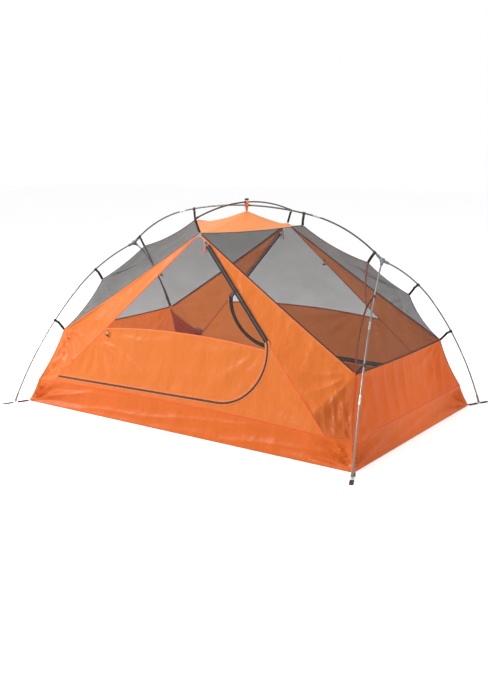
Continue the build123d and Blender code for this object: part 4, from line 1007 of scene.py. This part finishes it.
def tub():
    """Floor and four low walls in one piece, with puckers that fan out of each corner."""
    shape = Shape()
    x = np.linspace(-FLOOR_X, FLOOR_X, 61)
    y = np.linspace(-FLOOR_Y, FLOOR_Y, 41)
    grid = np.stack(np.broadcast_arrays(x[None], y[:, None], FLOOR_Z), -1)
    waves = soft_noise(grid[..., :2], 0.18, 3) * edge_fade(41, 61)
    grid[..., 2] += 0.004 * np.clip(waves, 0, 1)
    shape.add(grid, grid_faces(41, 61), grid[..., :2])
    corner = np.array((FLOOR_X, -FLOOR_Y, FLOOR_Z))
    rise = 24
    seam_x = np.linspace(-SEAM_X, SEAM_X, 141)
    front_top = seam_place(seam_x)
    side_top = edge(mirrored(TUB), mirrored(TUB, 1, -1), steps=100)
    upward = edge(corner, mirrored(TUB), 0.004, INSIDE, rise)
    front = coons(edge(mirrored(corner, -1), corner, steps=140), front_top,
                  mirrored(upward, -1), upward)
    end = coons(edge(corner, mirrored(corner, 1, -1), steps=100), side_top, upward,
                mirrored(upward, 1, -1))
    for wall in (front, end):
        places = flat_pattern(wall)
        first, last = places[0, 0], places[0, -1]
        lift = (fan(places, first, 17, 0.34, 0.024, 2) + fan(places, last, 17, 0.34, 0.024, 4)
                + folds(places, 5, 0.08, 0.007, 8) + folds(places, 70, 0.19, 0.003, 9))
        u, v = shares(*wall.shape[:2])
        lift *= smooth_step(np.minimum(v, 1 - v) / 0.3) * smooth_step(np.minimum(u, 1 - u) / 0.02)
        lifted = wall + grid_normals(wall) * lift[..., None]
        faces = grid_faces(*wall.shape[:2])
        shape.add(lifted, faces, places)
        shape.add(half_turn(lifted), faces, places)
    made = piece("tub", shape, [SHELF], "canopy", ["bathtub_floor"])


# ---- doors --------------------------------------------------------------------------------------
def zip_half(side):
    """One side of the zip: black tape, then orange facing round the curve, and the coil.

    side is 1 for the fixed half and -1 for the door's half.
    """
    shape = Shape()
    for start, end, wide, finish in ((TAPE_START, FACING_START, TAPE_OUTER, 0),
                                     (FACING_START, None, 1.15 * TAPE_OUTER, 1)):
        line = offset_path(path_part(ZIP, start, end), side * (TAPE_INNER + wide) / 2)
        width = wide - TAPE_INNER
        shape.add(*ribbon(on_wall(*line.T), WALL_OUT, width, TAPE_THICKNESS), finish)
        if finish:
            inside = on_wall(*line.T, -TAPE_THICKNESS)
            shape.add(*ribbon(inside, WALL_OUT, width, TAPE_THICKNESS), 0)
    line = offset_path(path_part(ZIP, TAPE_START), side * sum(COIL) / 2)
    coil = ribbon(on_wall(*line.T, 0.0006), WALL_OUT, COIL[1] - COIL[0], 0.0022)
    return shape.add(*coil, 2)


def doors():
    netting_rim, fabric_rim, divide = door_outlines()
    soft = lambda places: folds(places, 48, 0.14, 0.004, 2) + folds(places, -40, 0.17, 0.003, 5)
    loose = lambda places: (fan(places, (0.50, 0.51), 14, 0.28, 0.008, 3)
                            + fan(places, (-0.6, 0.42), 14, 0.30, 0.010, 6)
                            + folds(places, 8, 0.15, 0.004, 4) + folds(places, 75, 0.21, 0.003, 7))
    net = cut_cloth(netting_rim, soft)
    cloth = cut_cloth(fabric_rim, loose)
    hem = Shape()
    lowered = divide - np.array((0, 0.003))
    hem.add(*ribbon(on_wall(*lowered.T), WALL_OUT, 0.009, 0.0018))
    tape = zip_half(-1)
    for side, turn in (("front", lambda shape: shape), ("back", Shape.turned)):
        hem_piece = piece(f"{side}_door_hem", turn(hem), [HEM], f"{side}_door")
        made = piece(f"{side}_door_netting", turn(net), [DOOR_NET], f"{side}_door",
                     [f"{side}_door_mesh"], True)
        declare_cloth(made)
        made = piece(f"{side}_door_cloth", turn(cloth), [WALL], f"{side}_door",
                     [f"{side}_door_panel"], True)
        declare_cloth(made)
        piece(f"{side}_door_zip_tape", turn(tape), [TAPE, FACING, ZIP_COIL], f"{side}_door",
              [f"{side}_door_zip"])
    fixed = zip_half(1)
    piece("fixed_zip_tape", fixed.turned().join(fixed), [TAPE, FACING, ZIP_COIL], "canopy",
          ["zip_tapes_fixed"])


# ---- bindings, seams and tapes ------------------------------------------------------------------
def bindings():
    """Taped edges of the netting, and the orange hem that runs below the eave edge."""
    shape = Shape()
    for name, (along, across) in QUARTERS.items():
        edges = EDGES[name]
        out = mirrored((0.6, -0.5, 0.6), along, across)
        shape.add(*ribbon(edges["outer"][1:-1], out, BINDING, BINDING_THICKNESS), 0)
        shape.add(*ribbon(edges["roof"][1:-1], (0, -across, 3), 0.006, BINDING_THICKNESS), 1)
        shape.add(*ribbon(edges["eave"][1:-1], (0, -across, 1.2), 0.007, BINDING_THICKNESS), 1)
        down = np.array((0, -0.0045 * across, -0.0065))
        shape.add(*ribbon(edges["eave"][1:-1] + down, (0, -across, 0.45), 0.008, SEAM_THICKNESS), 2)
    for along, near, far in ((1, "front_right", "back_right"), (-1, "front_left", "back_left")):
        shape.add(*ribbon(EDGES[near]["ridge"][1:-1], (0, 0, 1), BINDING, BINDING_THICKNESS), 0)
        bottom = edge(EDGES[near]["outer"][0], EDGES[far]["outer"][0], 0.008)
        shape.add(*ribbon(bottom[1:-1], (along, 0, 0.5), 0.008, BINDING_THICKNESS), 1)
    piece("netting_bindings", shape, [RUST, DARK, HEM], "canopy", ["mesh_bindings"])


def seams():
    """Seams of the shell: at the end corners, beside the doors and round the tub."""
    corner, hinge, round_tub = Shape(), Shape(), Shape()
    for name, (along, across) in QUARTERS.items():
        out = mirrored((1, -1, 0.3), along, across)
        corner.add(*ribbon(EDGES[name]["corner"], out, 0.007, SEAM_THICKNESS), 0)
    hinge_line = edge(on_wall(-0.028, seam_line_v(0.028)), on_wall(-FOOT_X, seam_line_v(FOOT_X)))
    zip_line = edge(on_wall(0.53, seam_line_v(0.53)), on_wall(FOOT_X, seam_line_v(FOOT_X)))
    x = np.linspace(-SEAM_X, SEAM_X, 121)
    front_seam = seam_place(x, 0.001)
    end_seam = edge(TUB, mirrored(TUB, 1, -1))
    for turn in (lambda p: p, half_turn):
        out = turn(WALL_OUT)
        hinge.add(*ribbon(turn(hinge_line), out, 0.006, BINDING_THICKNESS), 0)
        corner.add(*ribbon(turn(zip_line), out, 0.005, SEAM_THICKNESS), 0)
        round_tub.add(*ribbon(turn(front_seam), out, 0.005, SEAM_THICKNESS), 0)
        round_tub.add(*ribbon(turn(end_seam), turn((1, 0, 0.3)), 0.005, SEAM_THICKNESS), 0)
    piece("shell_seams", corner, [SEAM], "canopy", ["wall_seams"])
    piece("hinge_seams", hinge, [SEAM], "canopy", ["hinge_tapes"])
    piece("tub_seams", round_tub, [SEAM], "canopy", ["tub_seam"])


# ---- inner pockets and care label ---------------------------------------------------------------
def pockets():
    """Pocket inside the right front and left back eave corners."""
    seam = on_wall(POCKET_SEAM_X, seam_line_v(POCKET_SEAM_X))
    back = np.array((-0.0018, 0.0068, 0))
    gather = unit(np.array((0.3, 0, -1.0)))
    corners = [EAVE + gather * 0.02 + back, seam + back, FOOT + back, TUB + back * 1.6]
    top, left_low, foot, tub_corner = corners
    grid = coons(edge(foot, tub_corner), edge(left_low, top, 0.01), edge(foot, left_low),
                 edge(tub_corner, top))
    wrinkle = lambda places: (fan(places, (0.09, 0.12), 10, 0.3, 0.004, 2)
                              + folds(places, 82, 0.05, 0.0022, 4))
    shape = grid_shape(grid, wrinkle, 0.2)
    top_line = edge(left_low, top, 0.01)
    hem = ribbon(top_line, (0.3, -0.95, 0), 0.008, 0.0014)
    shape.add(*hem, 1)
    made = piece("corner_pocket_cloth", shape.turned().join(shape), [POCKET, HEM], "canopy",
                 ["corner_pockets"])


def care_label():
    """Small blank cloth label sewn into the seam of the back wall."""
    middle, axes, sizes = bars("care_label")[0]
    down = axes[0] if axes[0][2] < 0 else -axes[0]
    start, end = middle - down * sizes[0] / 2, middle + down * sizes[0] / 2
    normal = axes[2]
    line = smooth_path([start, start * 0.6 + end * 0.4 + normal * 0.003,
                        start * 0.3 + end * 0.7 - normal * 0.001, end + normal * 0.002])
    made = piece("blank_label", Shape().add(*ribbon(line, normal, sizes[1], 0.0006)), [LABEL],
                 "canopy", ["care_label"])


# ---- webbing and straps -------------------------------------------------------------------------
def strap_band(bar, width_scale=1.0, bow=0.0, reach=0.0):
    """Band along a bar, a little bowed, with both ends folded back and sewn.

    reach is how far it runs on past both ends of the bar, into what it is sewn to.
    """
    middle, axes, sizes = bar
    half = sizes[0] / 2 + reach
    start, end = middle - axes[0] * half, middle + axes[0] * half
    line = edge(start, end, bow, middle - axes[2], 10)
    width = sizes[1] * width_scale
    shape = Shape().add(*ribbon(line, axes[2], width, WEBBING_THICKNESS))
    for near, heading in ((start, axes[0]), (end, -axes[0])):
        fold = np.linspace(near, near + heading * min(0.012, sizes[0] / 4), 4)
        fold = fold + axes[2] * WEBBING_THICKNESS
        shape.add(*ribbon(fold, axes[2], width * 0.98, WEBBING_THICKNESS))
    return shape


def clip_straps():
    shape = Shape()
    for bar in bars("clip_straps"):
        shape.join(strap_band(bar, 0.98, 0.001, 0.006))
    piece("woven_clip_straps", shape, [BLACK_WEB], "canopy", ["clip_straps"])


def peak_straps():
    """Straps from the brow pole's tips to the peaks, left on no body; the real straps bend as the
    brow swivels.
    """
    for bar, side in zip(bars("peak_straps"), ("front", "back")):
        made = piece(f"{side}_peak_strap", strap_band(bar, 0.96), [BLACK_WEB], None,
                     ["peak_straps"])
        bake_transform(made)


def corner_webbing():
    """Black webbing from each floor corner to the ring, with a dark red strap sewn over it."""
    shape = Shape()
    for bar in bars("corner_straps"):
        middle, axes, sizes = bar
        up = axes[2] if axes[2][2] > 0 else -axes[2]
        shape.join(strap_band((middle, np.array((axes[0], axes[1], up)), sizes)))
        outward = axes[0] if axes[0] @ middle > 0 else -axes[0]
        line = np.linspace(middle - outward * sizes[0] * 0.42, middle + outward * sizes[0] * 0.1, 6)
        shape.add(*ribbon(line + up * 0.0022, up, sizes[1] * 0.6, 0.0012), 1)
    piece("corner_webbing", shape, [BLACK_WEB, RED_WEB], "canopy", ["corner_straps"])


def holed_strip(half_length, half_width, hole):
    """Outline places and faces of a flat strip with cut corners and a round hole near its end."""
    corner = half_length - TAIL_CORNER
    rim = [(-half_length, -half_width), (corner, -half_width),
           (half_length, -half_width + TAIL_CORNER), (half_length, half_width - TAIL_CORNER),
           (corner, half_width), (-half_length, half_width)]
    ring = [(hole + EYELET_HOLE * cos(turn), EYELET_HOLE * sin(turn))
            for turn in np.arange(EYELET_SIDES) * 2 * pi / EYELET_SIDES]
    count = len(rim)
    outer = list(range(count))
    inner = list(range(count, count + EYELET_SIDES))
    flat, _, faces, *_ = delaunay_2d_cdt([Vector(place) for place in rim + ring],
                                         list(zip(inner, inner[1:] + inner[:1])), [outer], 1, 1e-8)
    flat = np.array([tuple(place) for place in flat])
    centres = [flat[list(face)].mean(0) for face in faces]
    kept = [list(face) for face, centre in zip(faces, centres)
            if hypot(centre[0] - hole, centre[1]) > 0.96 * EYELET_HOLE]
    return flat, kept, (outer, inner)


def stake_tails():
    """Webbing tails with an eyelet for a stake, and a bar of red stitches."""
    tails, eyelets = Shape(), Shape()
    up = np.array((0, 0, 1.0))
    for middle, axes, sizes in bars("stake_tails"):
        outward = unit((axes[0] if axes[0] @ middle > 0 else -axes[0]) * (1, 1, 0))
        side = np.cross(up, outward)
        half_length, half_width = sizes[0] / 2, sizes[1] / 2
        hole = half_length - EYELET_TO_END
        flat, faces, loops = holed_strip(half_length, half_width, hole)
        lowered = middle + flat[:, :1] * outward + flat[:, 1:] * side - up * TAIL_HALF
        raised = lowered + up * 2 * TAIL_HALF
        total = len(flat)
        walls = [[a, b, b + total, a + total] for loop in loops
                 for a, b in zip(loop, loop[1:] + loop[:1])]
        every = faces + [[number + total for number in face[::-1]] for face in faces] + walls
        tails.add(np.concatenate([lowered, raised]), every, np.concatenate([flat, flat]))
        stitch = middle - outward * half_length * 0.35 + up * (TAIL_HALF + 0.0003)
        reach = side * half_width * 0.8
        for step in (-0.002, 0, 0.002):
            start = stitch + outward * step
            tails.add(*tube(np.linspace(start - reach, start + reach, 12), 0.0005, 6), 1)
        circle = np.linspace(0, 2 * pi, 33)[:, None]
        line = middle + outward * hole + up * TAIL_HALF
        line = line + EYELET_RIM * (np.cos(circle) * outward + np.sin(circle) * side)
        eyelets.add(*tube(line, 0.0011, 8))
    tails.join(eyelets.finished(2))
    piece("stake_tail_webbing", tails, [BLACK_WEB, RED_WEB, ZINC], "canopy",
          ["stake_tails"])


def roof_loop():
    """Orange webbing loop from the roof over both poles, held by the toggle."""
    low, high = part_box("roof_loop")
    across = unit(np.array((1.0, -1.0, 0)))
    half = (high.x - low.x) / 2 / across[0] - 0.0072
    bottom, top = low.z + 0.001, high.z - 0.001
    lower = bottom - 0.002
    line = smooth_path([
        across * -0.004 + (0, 0, lower), across * 0.006 + (0, 0, bottom + 0.004),
        across * (half * 0.55) + (0, 0, bottom + 0.020), across * half + (0, 0, (bottom + top) / 2),
        across * (half * 0.75) + (0, 0, top - 0.006), across * 0.004 + (0, 0, top),
        across * (-half * 0.75) + (0, 0, top - 0.006), across * -half + (0, 0, (bottom + top) / 2),
        across * (-half * 0.55) + (0, 0, bottom + 0.020), across * -0.006 + (0, 0, bottom + 0.004),
        across * 0.004 + (0, 0, lower + 0.0015)], 6)
    centre = np.array((0, 0, (bottom + top) / 2))
    outward = line - centre
    outward[:3], outward[-3:] = (0, 0, -1), (0, 0, -1)
    shape = Shape().add(*ribbon(line, outward, 0.011, 0.0016))
    piece("roof_loop_webbing", shape, [ORANGE_WEB], "canopy", ["roof_loop"])


# ---- zip pulls and door toggles -----------------------------------------------------------------
def hang_cord(eye, drop, side, length, spread, radius):
    """Doubled cord through an eye that ends in a knot."""
    knot = eye + drop * length
    left = [eye - drop * 0.001, eye + side * spread * 0.6 + drop * length * 0.15,
            eye + side * spread + drop * length * 0.5, knot + side * radius * 0.9]
    right = [eye - drop * 0.001, eye - side * spread * 0.6 + drop * length * 0.15,
             eye - side * spread + drop * length * 0.5, knot - side * radius * 0.9]
    shape = Shape()
    for points in (left, right):
        shape.add(*tube(smooth_path(points, 8), radius, 10))
    turns = np.linspace(0, 2.6 * 2 * pi, 46)[:, None]
    other = np.cross(drop, side)
    coil = (knot + drop * (turns / turns[-1] * radius * 4)
            + (np.cos(turns) * side + np.sin(turns) * other) * radius * 1.2)
    shape.add(*tube(coil, radius, 8))
    tail = knot + drop * radius * 4
    shape.add(*tube(smooth_path([tail, tail + drop * 0.004 + side * 0.001,
                                 tail + drop * 0.009 - side * 0.001]), radius * 0.9, 8))
    return shape


def pull_tab(eye, drop, side, length, width):
    """Small cast tab that hangs from an eye, waisted in the middle, with a slot for its cord."""
    out = np.cross(drop, side)
    t = np.linspace(0, 1, 25)
    half = width / 2 * (0.62 + 0.38 * np.abs(np.cos(pi * t)) ** 0.7)
    shape = Shape()
    for sign in (-1, 1):
        line = eye + drop * (t * length)[:, None] + side * (sign * half * 0.72)[:, None]
        shape.add(*ribbon(line, out, width * 0.26, 0.0018))
    for at in (0.02, 0.42, 0.98):
        level = eye + drop * (at * length)
        bar = np.linspace(level - side * width * 0.4, level + side * width * 0.4, 9)
        shape.add(*ribbon(bar, out, width * 0.3, 0.0017))
    return shape


def toggle_barrel(centre, heading, length, radius):
    """Turned toggle bar with a waist for its cord and rounded ends."""
    t = np.linspace(-1, 1, 33)
    dome = np.sqrt(np.clip(1 - np.abs(t) ** 7, 0, 1))
    waist = 1 - 0.28 * np.exp(-(t / 0.14) ** 2)
    size = np.maximum(radius * dome * waist, radius * 0.05)
    return tube(centre + heading * (t * length / 2)[:, None], size, 18)


def pulls():
    """Cord pulls on the sliders, one outside and one inside each door."""
    down_wall = unit(on_wall(0, 0) - on_wall(0, 1))
    level = np.array((1.0, 0, 0))
    for kind, drop, cord, length in (("outer", down_wall, RED_CORD, 0.040),
                                     ("inner", np.array((0, 0, -1.0)), RUST_CORD, 0.024)):
        low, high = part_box(f"front_{kind}_pull")
        middle_x = (low.x + high.x) / 2
        box_top = np.array((middle_x, (low.y + high.y) / 2, high.z - 0.003))
        eye = np.array((middle_x, high.y - 0.0033 if kind == "outer" else box_top[1], box_top[2]))
        shape = pull_tab(eye, drop, level, 0.020, 0.0065)
        cords = hang_cord(eye + drop * 0.0185, drop, level, length - 0.010, 0.0032, 0.00125)
        shape.join(cords.finished(1))
        front_and_back("{}_" + kind + "_cord_pull", shape, [ZINC, cord],
                       "{}_" + kind + "_pull_body", ["{}_" + kind + "_pull"])


def door_toggles():
    """Toggles that hold the rolled door: a barrel on a cord folded double."""
    level = np.array((1.0, 0, 0))
    for kind, cord, keeper_finish in (("outer", BLACK_WEB, WHITE), ("inner", RUST_CORD, BLACK)):
        low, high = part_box(f"front_{kind}_toggle")
        middle_x = (low.x + high.x) / 2
        if kind == "outer":
            end = np.array((middle_x, low.y + TOGGLE_RADIUS, low.z + TOGGLE_RADIUS))
            start = np.array((middle_x, high.y - 0.0033, high.z - 0.0030))
        else:
            end = np.array((middle_x, (low.y + high.y) / 2, low.z + TOGGLE_RADIUS))
            start = np.array((middle_x, (low.y + high.y) / 2, high.z - 0.0030))
        heading = unit(end - start)
        length = float(np.linalg.norm(end - start))
        shape = Shape()
        for sign in (-1, 1):
            points = [start - heading * 0.001, start + heading * length * 0.3 + level * sign * 0.003,
                      start + heading * length * 0.75 + level * sign * 0.0024,
                      end + level * sign * 0.0006 - heading * 0.002]
            shape.add(*tube(smooth_path(points), 0.0011, 8), 1)
        wrap = np.linspace(0, 2 * pi, 25)[:, None]
        out = np.cross(level, heading)
        ring = end + (np.cos(wrap) * heading + np.sin(wrap) * out) * (TOGGLE_RADIUS * 0.74 + 0.0006)
        shape.add(*tube(ring, 0.0010, 8), 1)
        shape.add(*toggle_barrel(end, level, TOGGLE_LENGTH, TOGGLE_RADIUS), 0)
        keeper = start + heading * length * 0.42
        shape.add(*toggle_barrel(keeper, heading, 0.010, 0.0034), 2)
        node = "{}_" + kind + "_toggle"
        front_and_back(node + "_cord", shape, [BLACK, cord, keeper_finish], node + "_body",
                       [node])


# ---- finishes of the CAD pieces that stay -------------------------------------------------------
def finish_cad_nodes():
    finishes = {
        "ridge_pole": POLE, "brow_pole": POLE, "pole_ferrules": SLEEVE, "hubs": GREY,
        "leg_pole_front_right": LEG_POLE, "leg_pole_front_left": LEG_POLE,
        "leg_pole_back_right": LEG_POLE, "leg_pole_back_left": LEG_POLE,
        "ridge_clamp": GREY, "brow_saddle": GREY, "brow_tips": BLACK, "foot_caps": GREY,
        "foot_rings": WHITE, "clip_hooks": BLACK, "roof_toggle": BLACK,
        "front_zip_slider": ZINC, "back_zip_slider": ZINC,
    }
    for name, material in finishes.items():
        NODES[name].data.materials.clear()
        NODES[name].data.materials.append(material)


# ---- floor, light and camera --------------------------------------------------------------------
def studio():
    mesh = bpy.data.meshes.new("studio_floor")
    mesh.from_pydata([(-30, -30, -0.002), (30, -30, -0.002), (30, 30, -0.002), (-30, 30, -0.002)],
                     [], [(0, 1, 2, 3)])
    floor = bpy.data.objects.new("studio_floor", mesh)
    bpy.context.scene.collection.objects.link(floor)
    mesh.materials.append(plain_floor("studio_floor", linear(253, 253, 253)))
    world = bpy.data.worlds.new("studio")
    world.use_nodes = True
    world.node_tree.nodes["Background"].inputs["Color"].default_value = (1.0, 1.0, 1.0, 1)
    world.node_tree.nodes["Background"].inputs["Strength"].default_value = 1.0
    bpy.context.scene.world = world
    for name, place, size, power in (("key", (-4.2, -3.4, 3.8), 1.2, 440),
                                     ("side", (4.6, -1.6, 2.6), 2.5, 30),
                                     ("top", (0.3, 0.5, 4.5), 2.0, 60)):
        light = bpy.data.lights.new(name, "AREA")
        light.size, light.energy = size, power
        lamp = bpy.data.objects.new(name, light)
        bpy.context.scene.collection.objects.link(lamp)
        lamp.location = place
        aim = Vector((0, 0, 0.45)) - Vector(place)
        lamp.rotation_euler = aim.to_track_quat("-Z", "Y").to_euler()


def camera():
    lens = bpy.data.cameras.new("camera")
    lens.lens, lens.sensor_width = 46.12, 36
    made = bpy.data.objects.new("camera", lens)
    bpy.context.scene.collection.objects.link(made)
    made.location = (2.819, -4.033, 1.370)
    made.rotation_euler = Vector((-0.5623, 0.7994, -0.2113)).to_track_quat("-Z", "Y").to_euler()
    bpy.context.scene.camera = made
    bpy.context.scene.view_settings.view_transform = "Standard"


tub()
roof_netting()
end_netting()
roof_top()
end_walls()
side_walls()
sills()
doors()
bindings()
seams()
pockets()
care_label()
clip_straps()
peak_straps()
corner_webbing()
stake_tails()
roof_loop()
pulls()
door_toggles()
finish_cad_nodes()
studio()
camera()
